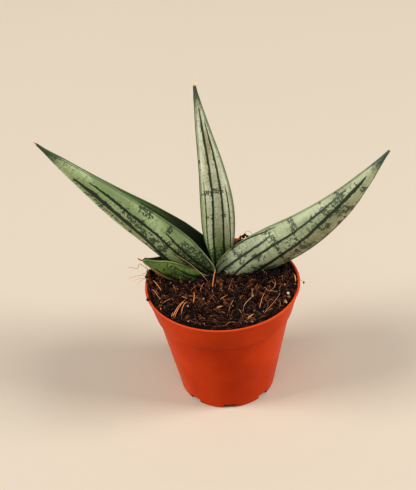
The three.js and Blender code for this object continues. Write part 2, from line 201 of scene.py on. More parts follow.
# The inner face's two colours hold painted shade: the second darkens it towards the foot, and on leaf_left and
# leaf_small the first is painted dark as well.
MARKINGS = {
    "leaf_middle": {
        "pale": srgb(232, 238, 216),
        "cloud": srgb(210, 214, 186),
        "base": srgb(150, 170, 98),
        "hidden": srgb(150, 168, 118),
        "inner_shade_foot": srgb(110, 134, 80),
        "line": srgb(34, 64, 24),
        "patch": srgb(54, 78, 44),
        "tint": srgb(170, 140, 96),
        "edge": srgb(64, 88, 46),
        "edge_foot": srgb(120, 134, 84),
        "tip": srgb(66, 82, 62),
        "spine": srgb(226, 212, 160),
        "spine_start": -0.8,
        "hidden_side": 1,
        "base_length": 24,
        "tip_length": 6.5,
        "mottling": 0.42,
        "stripes": [
            Stripe([(4, -2.8), (30, -1.6), (47, -0.9), (70, 0.2)], 1.0),
            Stripe([(4, 0.8), (18, 1.6), (35, 1.9), (53, 1.6), (65, 1.2)], 0.9),
            Stripe([(4, -5.0), (17, -4.7), (30, -4.3), (43, -3.8)], 0.6),
            Stripe([(4, 4.0), (17, 4.4), (30, 4.3), (41, 3.8)], 0.6),
        ],
        "bands": [(38, 1.1, 0.8), (27.8, 0.9, 0.6), (12, 3, 0.5), (71, 1.2, 0.5)],
        "patches": [(50.8, -3.9, 1.0, 1.0, 1.0), (38, 1.2, 1.2, 1.6, 0.8), (38, -3.2, 1.2, 1.4, 0.8)],
        "greens": [(30, -5.2, 24, 0.8, 0.5), (16, 0, 12, 6, 0.3)],
        "tints": [(57, 0.3, 5, 0.9, 0.7), (48, -1.4, 6, 0.8, 0.4), (20, 3.4, 9, 0.7, 0.3)],
    },
    "leaf_left": {
        "pale": srgb(170, 188, 142),
        "cloud": srgb(142, 162, 114),
        "base": srgb(118, 138, 92),
        "hidden": srgb(80, 118, 40),
        "inner_shade_foot": srgb(14, 24, 10),
        "line": srgb(24, 38, 24),
        "patch": srgb(34, 52, 34),
        "tint": srgb(196, 206, 170),
        "edge": srgb(62, 70, 38),
        "edge_foot": srgb(146, 158, 116),
        "tip": srgb(44, 66, 40),
        "spine": srgb(205, 90, 40),
        "spine_start": 0.1,
        "hidden_side": 0,
        "base_length": 26,
        "tip_length": 8,
        "mottling": 0.5,
        "stripes": [
            Stripe([(4, -0.4), (26, -1.8), (40, -2.3), (55, -1.8), (69, -0.6)], 1.3),
            Stripe([(4, -5.2), (29, -5.8), (40, -5.3), (52, -4.3), (64.5, -2.7)], 0.95),
            Stripe([(4, -6.9), (15, -7.6), (24, -8.0), (32, -8.0)], 0.9),
            Stripe([(4, 4), (30, 6), (56, 4)], 1.1),
            Stripe([(4, 6.5), (30, 9), (48, 7)], 1.0),
        ],
        "bands": [(32, 1.1, 0.35), (40, 1.0, 0.5), (24, 1.4, 0.5), (52, 1.2, 0.35)],
        "patches": [
            (41.5, -8.8, 4.0, 1.6, 1.0), (43, -3.9, 6.5, 0.9, 1.0), (35, -3.6, 4.0, 1.3, 1.0),
            (27.5, -6.6, 1.4, 2.2, 0.6), (31, -9.6, 1.6, 1.8, 1.0), (19, -9, 7, 2.6, 1.1), (17, -6, 6, 2.0, 0.9),
            (72, -2.0, 2.0, 0.9, 0.75), (46, -0.3, 24, 1.0, 0.6), (24, 0.2, 12, 1.6, 0.9), (29, -4, 4, 2.0, 0.8),
            (13, -7, 6, 4.5, 1.0),
        ],
        "greens": [(56, -5.6, 20, 1.9, 0.8), (30, -11, 16, 1.8, 0.8)],
        "tints": [(40, 0.4, 30, 0.9, 0.7)],
    },
    "leaf_right": {
        "pale": srgb(178, 186, 152),
        "cloud": srgb(150, 160, 126),
        "base": srgb(180, 192, 152),
        "hidden": srgb(128, 150, 92),
        "inner_shade_foot": srgb(70, 96, 40),
        "line": srgb(32, 46, 30),
        "patch": srgb(46, 62, 42),
        "tint": srgb(160, 142, 104),
        "edge": srgb(120, 128, 84),
        "edge_foot": srgb(214, 208, 150),
        "tip": srgb(52, 74, 58),
        "spine": srgb(222, 214, 176),
        "spine_start": -0.2,
        "hidden_side": 0,
        "base_length": 9,
        "tip_length": 8,
        "mottling": 0.75,
        "stripes": [
            Stripe([(12, 7.2), (18, 7.5), (24, 7.1), (31, 6.5)], 0.7),
            Stripe([(4, 3.2), (16, 3.5), (22, 4.0), (29, 4.7)], 0.9),
            Stripe([(4, -0.2), (10, 0.4), (21, 1.5), (32, 2.0), (45, 2.4), (61.5, 2.1)], 0.8),
            Stripe([(4, -4.5), (16, -3.4), (29, -2.0), (39, -1.0), (48, -0.1), (70, 0.2)], 1.2),
            Stripe([(18, -8.0), (36, -6.3), (43, -5.8), (51, -4.4)], 0.6),
            Stripe([(5, 5.1), (11, 5.2)], 0.6),
        ],
        "bands": [
            (9, 1.2, 0.25), (13.5, 1.0, 0.3), (20, 1.6, 0.3), (28, 1.2, 0.75), (36.5, 1.3, 0.7), (44, 1.0, 0.55),
            (50, 1.1, 0.65), (57, 1.2, 0.7), (66, 1.4, 0.6),
        ],
        "patches": [
            (54.5, -1.9, 3.0, 1.7, 1.2), (47.5, -2.4, 1.8, 1.2, 1.1), (65, -1.5, 1.6, 1.0, 0.9),
            (53, -5.0, 0.8, 1.6, 0.95), (60, -4.2, 0.9, 1.5, 0.95), (66.5, -3.2, 0.9, 1.3, 0.95),
            (71, -2.3, 0.8, 1.1, 0.9), (37, 4.6, 1.8, 3.0, 0.8), (33, 0.2, 3.0, 1.4, 0.9), (28, -0.2, 0.7, 1.7, 1.0),
            (13.2, 5.7, 0.6, 1.7, 0.8), (14, 2.0, 1.4, 0.9, 0.7), (16, -1.0, 2.2, 1.2, 0.7),
            (35, -4.0, 7.0, 1.7, 0.8), (24, -5.6, 6.0, 1.6, 0.7),
        ],
        "greens": [(48, 5.6, 22, 1.8, 0.55), (26, 8.2, 16, 1.5, 0.6)],
        "tints": [(46, -3.5, 24, 2.6, 0.5)],
    },
    "leaf_small": {
        "pale": srgb(128, 146, 68),
        "cloud": srgb(90, 113, 48),
        "base": srgb(76, 105, 46),
        "hidden": srgb(52, 88, 34),
        "inner_shade_foot": srgb(26, 44, 16),
        "line": srgb(26, 42, 20),
        "patch": srgb(36, 54, 28),
        "tint": srgb(150, 130, 84),
        "edge": srgb(150, 140, 96),
        "edge_foot": srgb(150, 140, 96),
        "tip": srgb(70, 96, 46),
        "spine": srgb(176, 84, 40),
        "spine_start": 0.2,
        "hidden_side": 0,
        "base_length": 8,
        "tip_length": 2,
        "mottling": 0.5,
        "stripes": [
            Stripe([(3, -4.2), (10.8, -4.5), (15.6, -4.8)], 1.0),
            Stripe([(3, -1.9), (10, -1.7), (22, -1.0)], 0.9),
            Stripe([(7, -3.2), (13, -3.3)], 0.8),
        ],
        "bands": [],
        "patches": [(15, -2.8, 7, 1.5, 0.9), (10, -3.8, 4, 1.6, 1.0), (17, -4.6, 3, 1.0, 0.9)],
        "greens": [],
        "tints": [(13, -0.4, 11, 1.5, 1.0)],
    },
}


class Socket:
    """An output of a node. Arithmetic on it adds Math nodes to the same tree."""

    def __init__(self, net, output):
        self.net = net
        self.output = output

    def math(self, operation, *others):
        """This value and the others through one Math node."""
        return self.net.add("ShaderNodeMath", {"operation": operation}, dict(enumerate([self, *others])))

    def other(self, name):
        """Another output of the same node."""
        return Socket(self.net, self.output.node.outputs[name])

    def smooth(self, low, high):
        """0 below low and 1 above high, with a soft step between them."""
        settings = {"interpolation_type": "SMOOTHSTEP"}
        return self.net.add("ShaderNodeMapRange", settings, {0: self, 1: low, 2: high})

    def __add__(self, other):
        return self.math("ADD", other)

    def __sub__(self, other):
        return self.math("SUBTRACT", other)

    def __rsub__(self, other):
        return self.net.add("ShaderNodeMath", {"operation": "SUBTRACT"}, {0: other, 1: self})

    def __mul__(self, other):
        return self.math("MULTIPLY", other)

    def __truediv__(self, other):
        return self.math("DIVIDE", other)

    def __rtruediv__(self, other):
        return self.net.add("ShaderNodeMath", {"operation": "DIVIDE"}, {0: other, 1: self})

    def __pow__(self, other):
        return self.math("POWER", other)

    def __abs__(self):
        return self.math("ABSOLUTE")

    __radd__ = __add__
    __rmul__ = __mul__


class Net:
    """Adds nodes to a material's tree or to a Geometry Nodes tree."""

    def __init__(self, tree):
        self.tree = tree

    def add(self, kind, settings=None, inputs=None, out=0):
        """A node of that type, with its settings, and its sockets' values or links. Gives one of its outputs."""
        node = self.tree.nodes.new(kind)
        for name, value in (settings or {}).items():
            if name == "curve":
                self._set_curve(node.mapping, value)
            else:
                setattr(node, name, value)
        for key, value in (inputs or {}).items():
            if isinstance(value, Socket):
                self.tree.links.new(value.output, node.inputs[key])
            else:
                node.inputs[key].default_value = value
        return Socket(self, node.outputs[out]) if node.outputs else None

    @staticmethod
    def _set_curve(mapping, points):
        curve = mapping.curves[0]
        while len(curve.points) < len(points):
            curve.points.new(0.5, 0.5)
        for knot, (x, y) in zip(curve.points, points):
            knot.location = (x, y)
        mapping.update()

    def mix(self, factor, a, b):
        """Colour a where the factor is 0 and colour b where it is 1."""
        return self.add("ShaderNodeMix", {"data_type": "RGBA"}, {0: factor, 6: a, 7: b}, out=2)

    def noise(self, place, scale, detail=2.0, roughness=0.5):
        """Soft noise round 0.5, its grains about 1 / scale across."""
        inputs = {"Vector": place, "Scale": scale, "Detail": detail, "Roughness": roughness}
        return self.add("ShaderNodeTexNoise", None, inputs)

    def own_place(self):
        """Where the shaded point is on its piece."""
        return self.add("ShaderNodeTexCoord", out="Object")

    def own_tone(self):
        """The tone that the shaded crumb or fibre has of its own."""
        return self.add("ShaderNodeAttribute", {"attribute_name": "tint"}, out="Fac")

    def place(self, x, y, z):
        """Three values as one vector."""
        return self.add("ShaderNodeCombineXYZ", None, {0: x, 1: y, 2: z})

    def parts(self, vector):
        """A vector's three values."""
        x = self.add("ShaderNodeSeparateXYZ", None, {0: vector})
        return x, x.other("Y"), x.other("Z")

    def stretched(self, vector, factors):
        """A vector with each of its values multiplied."""
        return self.add("ShaderNodeVectorMath", {"operation": "MULTIPLY"}, {0: vector, 1: factors})


def new_material(name):
    """A material with an empty tree, and the net that fills it."""
    material = bpy.data.materials.new(name)
    material.use_nodes = True
    material.node_tree.nodes.clear()
    return material, Net(material.node_tree)


def finish_material(net, inputs):
    """The surface shader with these inputs, connected to the material's output."""
    shader = net.add("ShaderNodeBsdfPrincipled", None, inputs)
    net.add("ShaderNodeOutputMaterial", None, {"Surface": shader})


def bump(net, height, distance, strength=1.0):
    """Normals as if the surface were raised by height times distance."""
    return net.add("ShaderNodeBump", None, {"Strength": strength, "Distance": distance, "Height": height})


# Meshes
def paint(piece, material):
    """Gives the whole piece one material."""
    piece.data.materials.clear()
    piece.data.materials.append(material)


def link_piece(name, data, material=None):
    """A new object at the origin that shows the mesh, curve, lamp or camera."""
    piece = bpy.data.objects.new(name, data)
    bpy.context.scene.collection.objects.link(piece)
    if material:
        paint(piece, material)
    return piece


def finished_mesh(name, work):
    """The bmesh as a mesh of its own."""
    mesh = bpy.data.meshes.new(name)
    work.to_mesh(mesh)
    work.free()
    return mesh


def evaluated_mesh(piece):
    """The piece's mesh with its modifiers carried out."""
    graph = bpy.context.evaluated_depsgraph_get()
    return bpy.data.meshes.new_from_object(
        piece.evaluated_get(graph), preserve_all_data_layers=True, depsgraph=graph
    )


def settle(piece):
    """Carries out the piece's modifiers and removes them."""
    mesh = evaluated_mesh(piece)
    piece.modifiers.clear()
    piece.data = mesh
    return piece


def discard(*pieces):
    """Removes helper objects."""
    for piece in pieces:
        bpy.data.objects.remove(piece)


def cut(piece, cutters):
    """The piece without what lies inside the cutters."""
    for cutter in cutters:
        modifier = piece.modifiers.new("cut", "BOOLEAN")
        modifier.operation = "DIFFERENCE"
        modifier.solver = "MANIFOLD"
        modifier.object = cutter
    return settle(piece)


def smooth_up_to(mesh, degrees):
    """Smooth shading, with edges kept sharp where the faces turn by more than that."""
    work = bmesh.new()
    work.from_mesh(mesh)
    for face in work.faces:
        face.smooth = True
    for edge in work.edges:
        edge.smooth = edge.calc_face_angle(math.pi) < math.radians(degrees)
    work.to_mesh(mesh)
    work.free()


def lathe_mesh(name, profile, sides):
    """A closed mesh turned round Z from a profile of (radius, z) in millimetres that starts and ends on the axis."""
    work = bmesh.new()
    rings = []
    for radius, z in profile:
        if radius == 0:
            rings.append([work.verts.new((0, 0, z * MM))])
            continue
        turns = [2 * math.pi * i / sides for i in range(sides)]
        rings.append([work.verts.new((radius * MM * math.cos(t), radius * MM * math.sin(t), z * MM)) for t in turns])
    for lower, upper in zip(rings, rings[1:]):
        for i in range(sides):
            j = (i + 1) % sides
            if len(lower) == 1:
                work.faces.new((lower[0], upper[j], upper[i]))
            elif len(upper) == 1:
                work.faces.new((lower[i], lower[j], upper[0]))
            else:
                work.faces.new((lower[i], lower[j], upper[j], upper[i]))
    bmesh.ops.recalc_face_normals(work, faces=work.faces)
    return finished_mesh(name, work)


def rounded(corners, steps=4):
    """An outline of (radius, z, rounding) corners with each corner rounded off by an arc."""
    points = []
    for k, (r, z, rounding) in enumerate(corners):
        corner = Vector((r, z))
        if rounding == 0:
            points.append((r, z))
            continue
        before = (Vector(corners[k - 1][:2]) - corner).normalized()
        after = (Vector(corners[k + 1][:2]) - corner).normalized()
        start = corner + before * rounding
        end = corner + after * rounding
        for i in range(steps + 1):
            t = i / steps
            point = start * (1 - t) ** 2 + corner * (2 * t * (1 - t)) + end * t**2
            points.append((point.x, point.y))
    return points


# Leaves
def measure(rows, key, share):
    """The value of one measure of a leaf's rows at a share of the way along them."""
    place = share * (len(rows) - 1)
    i = min(int(place), len(rows) - 2)
    u = place - i

    def at(k):
        return getattr(rows[max(0, min(len(rows) - 1, k))], key)

    slope_a = (at(i + 1) - at(i - 1)) / 2
    slope_b = (at(i + 2) - at(i)) / 2
    return (
        (2 * u**3 - 3 * u**2 + 1) * at(i)
        + (u**3 - 2 * u**2 + u) * slope_a
        + (3 * u**2 - 2 * u**3) * at(i + 1)
        + (u**3 - u**2) * slope_b
    )


def path_point(points, share):
    """A point of the centripetal Catmull-Rom curve through the points."""
    place = max(0, min(1, share)) * (len(points) - 1)
    i = min(int(place), len(points) - 2)
    w = place - i
    a, b = points[i], points[i + 1]
    before = points[i - 1] if i > 0 else a * 2 - b
    after = points[i + 2] if i + 2 < len(points) else b * 2 - a
    d0, d1, d2 = (math.sqrt((q - p).length) for p, q in ((before, a), (a, b), (b, after)))
    slope_a = ((a - before) / d0 - (b - before) / (d0 + d1) + (b - a) / d1) * d1
    slope_b = ((b - a) / d1 - (after - a) / (d1 + d2) + (after - b) / d2) * d1
    square = (b - a) * 3 - slope_a * 2 - slope_b
    cube = (a - b) * 2 + slope_a + slope_b
    return a + slope_a * w + square * w**2 + cube * w**3


def wing_points(half, curl, fold, steps):
    """The inner face of one wing: (reach, distance across, height, slope) from the rib to the margin."""
    points = [(0, 0, 0, 0)]
    x = height = 0
    for k in range(1, steps + 1):
        reach = (k / steps) ** 1.2
        last = points[-1][0]
        for part in (0.25, 0.75):
            slope = curl * (last + (reach - last) * part) ** fold
            x += half * (reach - last) / 2 * math.cos(slope)
            height += half * (reach - last) / 2 * math.sin(slope)
        points.append((reach, x, height, curl * reach**fold))
    return points


def leaf_ring(shape, share, grow, steps):
    """One cross-section's skin, as (point, across, distance to the margin, side): side 0 inside and 1 outside."""
    rows = shape["rows"]
    path = [Vector(row.at) for row in rows]
    reach_by = 1e-3
    at = path_point(path, share)
    tangent = (path_point(path, share + reach_by) - path_point(path, share - reach_by)).normalized()
    front = Vector((0, -1, 0))
    facing = (front - tangent * front.dot(tangent)).normalized()
    side = tangent.cross(facing)
    turn = math.radians(measure(rows, "turn", share))
    opening = facing * math.cos(turn) + side * math.sin(turn)
    across = tangent.cross(opening)
    half = measure(rows, "half", share) + grow
    rib = measure(rows, "rib", share)
    curl = math.radians(measure(rows, "curl", share))
    edge = min(BLADE_EDGE, rib)
    bead = min(0.8 * edge / 2 + grow, 0.5 * half)
    points = wing_points(half - bead, curl, shape["fold"], steps)

    def skin(k):
        reach, x, height, slope = points[abs(k)]
        sign = (k > 0) - (k < 0)
        normal = opening * math.cos(slope) - across * (sign * math.sin(slope))
        outward = across * (sign * math.cos(slope)) + opening * math.sin(slope)
        thick = edge + (rib - edge) * (1 - reach**BLADE_TAPER)
        inner = at + across * (sign * x) + opening * height
        return inner, normal, outward, thick, sign * reach * half, half * (1 - reach)

    ring = []
    faces = [skin(k) for k in range(-steps, steps + 1)]
    for inner, normal, _, _, place, margin in faces:
        ring.append((inner + normal * grow, place, margin, 0))
    for end, outer_faces in ((faces[-1], reversed(faces)), (faces[0], ())):
        inner, normal, outward, thick, place, _ = end
        middle = inner - normal * (thick / 2)
        bead_steps = range(1, BEAD_STEPS)
        if end is faces[0]:
            bead_steps = reversed(bead_steps)
        for i in bead_steps:
            angle = math.pi * i / BEAD_STEPS
            point = middle + normal * ((thick / 2 + grow) * math.cos(angle)) + outward * (bead * math.sin(angle))
            ring.append((point, place, 0, i / BEAD_STEPS))
        for inner, normal, _, thick, place, margin in outer_faces:
            ring.append((inner - normal * (thick + grow), place, margin, 1))
    return ring, at - opening * (rib / 2), tangent


def leaf_mesh(name, shape, grow=0.0, along_steps=ALONG_STEPS, wing_steps=WING_STEPS):
    """A leaf's closed skin, with its UV maps: "blade" holds along and across, "rim" the margin's distance and side."""
    work = bmesh.new()
    blade = work.loops.layers.uv.new("blade")
    rim = work.loops.layers.uv.new("rim")
    marks = {}
    rings = []
    length = 0
    last = None
    for s in range(along_steps + 1):
        ring, middle, tangent = leaf_ring(shape, s / along_steps, grow, wing_steps)
        if last is not None:
            length += (middle - last).length
        last = middle
        verts = []
        for point, across, margin, side in ring:
            vert = work.verts.new(point * MM)
            marks[vert] = ((length, across), (margin, side))
            verts.append(vert)
        rings.append(verts)
    last_ring = [vert.co.copy() for vert in rings[-1]]
    narrowing = 0.8 + shape["rows"][-1].half
    for i in range(1, SPINE_STEPS):
        t = i / SPINE_STEPS
        verts = []
        for point, (_, across, margin, side) in zip(last_ring, ring):
            shrunk = middle * MM + (point - middle * MM) * (1 - t) ** narrowing
            vert = work.verts.new(shrunk + tangent * ((SPINE_LENGTH + grow) * t * MM))
            marks[vert] = ((length + SPINE_LENGTH * t, across), (margin, side))
            verts.append(vert)
        rings.append(verts)
    point = work.verts.new((middle + tangent * (SPINE_LENGTH + grow)) * MM)
    marks[point] = ((length + SPINE_LENGTH, 0), (0, 0.5))
    foot_middle = leaf_ring(shape, 0, grow, wing_steps)[1]
    foot = work.verts.new(foot_middle * MM)
    marks[foot] = ((0, 0), (0, 0.5))
    size = len(rings[0])
    for lower, upper in zip(rings, rings[1:]):
        for k in range(size):
            j = (k + 1) % size
            work.faces.new((lower[k], lower[j], upper[j], upper[k]))
    for k in range(size):
        j = (k + 1) % size
        work.faces.new((rings[0][j], rings[0][k], foot))
        work.faces.new((rings[-1][k], rings[-1][j], point))
    for face in work.faces:
        for loop in face.loops:
            loop[blade].uv, loop[rim].uv = marks[loop.vert]
    bmesh.ops.recalc_face_normals(work, faces=work.faces)
    return finished_mesh(name, work), length


def oval(along, across, patch):
    """1 in the middle of a patch, fading to 0 at its rim."""
    at_along, at_across, half_length, half_width, strength = patch
    far = ((along - at_along) / half_length) ** 2 + ((across - at_across) / half_width) ** 2
    return (1 - far.smooth(0.15, 1.3)) * strength


def stripe_mask(net, along, across, stripe, waver):
    """1 on a dark line and 0 off it. The line wavers, and its ends taper."""
    reach = 10
    first, last = stripe.points[0][0], stripe.points[-1][0]
    knots = [(a / 100, 0.5 + c / (2 * reach)) for a, c in stripe.points]
    centre = net.add("ShaderNodeFloatCurve", {"curve": knots}, {"Value": along / 100})
    distance = abs(across - (centre - 0.5) * (2 * reach) + waver * 0.5)
    width = stripe.width * (0.8 + waver * 0.8) * (1.1 - along.smooth(last - 9, last) * 0.6)
    body = 1 - (distance / width).smooth(0.36, 0.56)
    return body * along.smooth(first - 1, first + 1) * (1 - along.smooth(last - 1.2, last + 0.4))


def leaf_material(name, marks, length, seed):
    """A waxy blade: pale bloom, dark lines along it, mottling, a thin margin line, a dark tip, a dry spine, and painted
    shade on the inner face that deepens towards the foot.
    """
    settings = bpy.context.scene.snake_plant.leaves
    material, net = new_material(name)
    along, across, _ = net.parts(net.add("ShaderNodeUVMap", {"uv_map": "blade"}))
    margin, side, _ = net.parts(net.add("ShaderNodeUVMap", {"uv_map": "rim"}))
    place = net.place(across, along, side * 40 + seed)
    clouds = net.noise(net.stretched(place, (0.22, 0.09, 1)), 1.0, 3.0)
    streaks = net.noise(net.stretched(place, (2.2, 0.05, 1)), 1.0, 2.0)
    specks = net.noise(net.stretched(place, (1.7, 1.2, 1)), 1.0, 4.0, 0.66)
    flecks = net.noise(net.stretched(place, (3.1, 2.2, 1)), 1.0, 2.0, 0.6)
    clusters = net.noise(net.stretched(place, (0.32, 0.2, 1)), 1.0, 2.0)
    bars = net.noise(net.stretched(place, (0.3, 1.1, 1)), 1.0, 3.0, 0.6)
    waver = net.noise(net.stretched(place, (0.5, 0.5, 1)), 1.0, 3.0) - 0.5
    hidden = 1 - side if marks["hidden_side"] == 0 else side

    face = net.mix(clouds.smooth(0.38, 0.62), marks["pale"], marks["cloud"])
    face = net.mix(streaks.smooth(0.45, 0.75) * 0.35, face, marks["base"])
    face = net.mix(flecks.smooth(0.5, 0.68) * 0.4, face, marks["cloud"])
    face = net.mix(specks.smooth(0.5, 0.66) * 0.26, face, marks["patch"])
    face = net.mix(flecks.smooth(0.52, 0.66) * 0.16, face, marks["patch"])
    face = net.mix(bars.smooth(0.5, 0.68) * 0.3, face, marks["patch"])
    for zone in marks["greens"]:
        face = net.mix(oval(along, across, zone) * (0.5 + clouds), face, marks["base"])
    foot = 1 - (along + waver * 8).smooth(0.35 * marks["base_length"], marks["base_length"])
    face = net.mix(foot, face, marks["base"])
    for tint in marks["tints"]:
        face = net.mix(oval(along, across, tint) * (0.55 + flecks * 0.5), face, marks["tint"])
    # Painted shade: the inner face's colour darkens towards the foot, where the leaves shade each other; on leaf_left
    # and leaf_small the inner face's own colour is also painted dark as the shade it lies in.
    shade = 1 - (along + streaks * 16).smooth(0.3 * length, 0.62 * length)
    shaded_inner_face = net.mix(shade, marks["hidden"], marks["inner_shade_foot"])
    face = net.mix(hidden.smooth(0.4, 0.6) * 0.9, face, shaded_inner_face)

    lines = None
    near_lines = None
    for stripe in marks["stripes"]:
        mask = stripe_mask(net, along, across, stripe, waver)
        fringe = stripe_mask(net, along, across, Stripe(stripe.points, stripe.width * 2.6), waver)
        lines = mask if lines is None else lines.math("MAXIMUM", mask)
        near_lines = fringe if near_lines is None else near_lines.math("MAXIMUM", fringe)

    crowd = clusters.smooth(0.42, 0.68) * marks["mottling"] + near_lines * 0.3
    crowd = crowd + foot * 0.5 + bars.smooth(0.5, 0.75) * 0.25
    for at, half, strength in marks["bands"]:
        ring = abs(along + waver * 3 - at)
        crowd = crowd + (1 - (ring / half).smooth(0.4, 1.4)) * strength * 0.8
    for patch in marks["patches"]:
        crowd = crowd + oval(along, across, patch)
    level = 0.75 - crowd.math("MINIMUM", 1.2) * 0.27 * settings.mottling
    mottle = (specks - level).smooth(0.0, 0.05)
    face = net.mix(mottle * 0.85, face, marks["patch"])
    face = net.mix(lines * 0.97, face, marks["line"])

    rim_line = (1 - abs(margin - 0.4).smooth(0.08, 0.28)) * along.smooth(6, 12)
    face = net.mix(rim_line * (0.3 + streaks * 0.6), face, marks["line"])
    edge = net.mix(along.smooth(8, 22), marks["edge_foot"], marks["edge"])
    face = net.mix((1 - margin.smooth(0.0, 0.22)) * 0.85, face, edge)
    tip_from = length - marks["tip_length"]
    tip = (along + (specks - 0.5) * 9).smooth(tip_from - 2.5, tip_from + 3)
    face = net.mix(tip * (0.7 + flecks * 0.4), face, marks["tip"])
    spine_from = length + marks["spine_start"]
    spine = (along + waver * 0.6).smooth(spine_from, spine_from + 0.6)
    face = net.mix(spine, face, marks["spine"])

    relief = streaks * 0.5 + flecks * 0.25 - lines * 0.6 - mottle * 0.15
    roughness = 0.42 + clouds * 0.14 + flecks * 0.06 - lines * 0.08
    finish_material(
        net,
        {
            "Base Color": face,
            "Roughness": roughness,
            "Specular IOR Level": 0.45,
            "Normal": bump(net, relief, 0.12 * MM, 0.7),
        },
    )
    return material


def leaf_cutters():
    """The blades' forms, grown by the gap that keeps neighbours apart, in the order of SHAPES."""
    cutters = []
    for name, shape in SHAPES.items():
        grown, _ = leaf_mesh(name + "_cutter", shape, GAP, CUTTER_ALONG_STEPS, CUTTER_WING_STEPS)
        cutters.append(link_piece(name + "_cutter", grown))
    return cutters


def build_leaves():
    """The four blades, each cut clear of the ones that it clasps."""
    cutters = leaf_cutters()
    for seed, name in enumerate(SHAPES):
        mesh, length = leaf_mesh(name + "_blade", SHAPES[name])
        piece = link_piece(name + "_blade", mesh, leaf_material(name + "_skin", MARKINGS[name], length, seed * 7.3))
        if seed:
            cut(piece, cutters[:seed])
        smooth_up_to(piece.data, CREASE)
        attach(piece, BODY)
        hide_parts(name)
    discard(*cutters)


# Pot
def pot_material():
    """Satin moulded plastic with faint flow marks, a painted highlight along the top of the lip, a painted shade line
    under the collar's step, a dusting of mix by the rim and a few specks.
    """
    settings = bpy.context.scene.snake_plant.pot
    material, net = new_material("terracotta_plastic")
    place = net.own_place()
    x, y, z = net.parts(place)
    height = z / MM
    flow = net.noise(net.stretched(place, (420, 420, 30)), 1.0, 2.0)
    grain = net.noise(place, 2600, 2.0)
    patchy = net.noise(place, 60, 3.0)
    specks = net.noise(place, 1500, 2.0, 0.7)
    colour = (*settings.colour, 1.0)
    deeper = (settings.colour[0] * 0.82, settings.colour[1] * 0.72, settings.colour[2] * 0.7, 1.0)
    face = net.mix(patchy.smooth(0.35, 0.7), colour, deeper)
    near_rim = height.smooth(POT_HEIGHT - 12, POT_HEIGHT)
    # Painted highlight: the top of the lip is painted paler and less saturated, standing in for the light that it
    # catches.
    lip_highlight = height.smooth(POT_HEIGHT - 0.5, POT_HEIGHT - 0.1) * (0.1 + patchy * 0.5)
    face = net.mix(lip_highlight, face, srgb(206, 104, 78))
    # Painted shade: a dark line under the collar's step, where it overhangs the wall.
    step_shade = 1 - abs(height - (COLLAR_FOOT_Z - 0.2)).smooth(0.1, 0.55)
    face = net.mix(step_shade * 0.55, face, srgb(84, 20, 6))
    dirt = (specks + near_rim * 0.03).smooth(0.755, 0.79)
    face = net.mix(dirt * 0.8, face, srgb(44, 26, 16))
    roughness = settings.roughness + patchy * 0.1 + dirt * 0.3
    relief = flow * 0.5 + grain * 0.12
    finish_material(
        net,
        {
            "Base Color": face,
            "Roughness": roughness,
            "Specular IOR Level": 0.1,
            "Specular Tint": (1.0, 0.36, 0.08, 1.0),
            "Normal": bump(net, relief, 0.12 * MM, 0.5),
        },
    )
    return material


def build_pot():
    """The pot: lip, tapered collar, soft step, tapered wall and a flat base with notches through its corner."""
    lip_under = RIM_RADIUS - LIP_REACH
    corners = [
        (0, 0, 0),
        (BASE_RADIUS, 0, 0.5),
        (WALL_TOP_RADIUS, COLLAR_FOOT_Z - 0.6, 0.4),
        (COLLAR_FOOT_RADIUS, COLLAR_FOOT_Z + 0.3, 0.5),
        (lip_under, POT_HEIGHT - LIP_HEIGHT, 0.25),
        (RIM_RADIUS, POT_HEIGHT - 0.5 * LIP_HEIGHT, 0.15),
        (RIM_RADIUS, POT_HEIGHT, 0.35),
        (RIM_RADIUS - WALL, POT_HEIGHT, 0.3),
        (lip_under - WALL, POT_HEIGHT - LIP_HEIGHT, 0.3),
        (COLLAR_FOOT_RADIUS - WALL, COLLAR_FOOT_Z + 0.4, 0.3),
        (WALL_TOP_RADIUS - WALL, COLLAR_FOOT_Z - 0.6, 0.3),
        (BASE_RADIUS - WALL, BASE_THICKNESS, 0.4),
        (0, BASE_THICKNESS, 0),
    ]
    mesh = lathe_mesh("pot_shell", rounded(corners), POT_SIDES)
    pot = link_piece("pot_shell", mesh)
    work = bmesh.new()
    notches = bpy.context.scene.snake_plant.pot.notches
    for i in range(notches):
        turn = Matrix.Rotation(i * 2 * math.pi / notches, 4, "Z")
        size = Matrix.Diagonal((2 * NOTCH_DEPTH * MM, NOTCH_WIDTH * MM, 2 * NOTCH_HEIGHT * MM, 1))
        place = turn @ Matrix.Translation((BASE_RADIUS * MM, 0, 0)) @ size
        bmesh.ops.create_cube(work, size=1, matrix=place)
    cutter = link_piece("notches", finished_mesh("notches", work))
    cut(pot, [cutter])
    discard(cutter)
    paint(pot, pot_material())
    smooth_up_to(pot.data, POT_CREASE)
    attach(pot, BODY)
    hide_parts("pot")


# Potting mix
def soil_height(x, y):
    """The lumpy, slightly mounded level of the mix, in millimetres."""
    r = math.hypot(x, y) / RIM_RADIUS
    lumps = (
        0.45 * math.sin(0.9 * x + 1.3) * math.cos(0.8 * y - 0.4)
        + 0.35 * math.sin(1.7 * x - 0.6 * y + 2.1)
        + 0.25 * math.cos(0.5 * x + 2.1 * y)
    )
    crumbs = 0.9 * noise.noise(Vector((x * 0.7, y * 0.7, 3.7))) + 0.6 * noise.noise(Vector((x * 1.7, y * 1.7, 8.1)))
    level = SOIL_EDGE_Z + SOIL_BRIM + (SOIL_MOUND - SOIL_BRIM) * (1 - r * r)
    return level + (lumps + crumbs) * min(1, 4 * (1 - r))


def soil_edge_radius():
    """How far the mix reaches at its surface, just inside the pot's wall."""
    return RIM_RADIUS - LIP_REACH - WALL - GAP


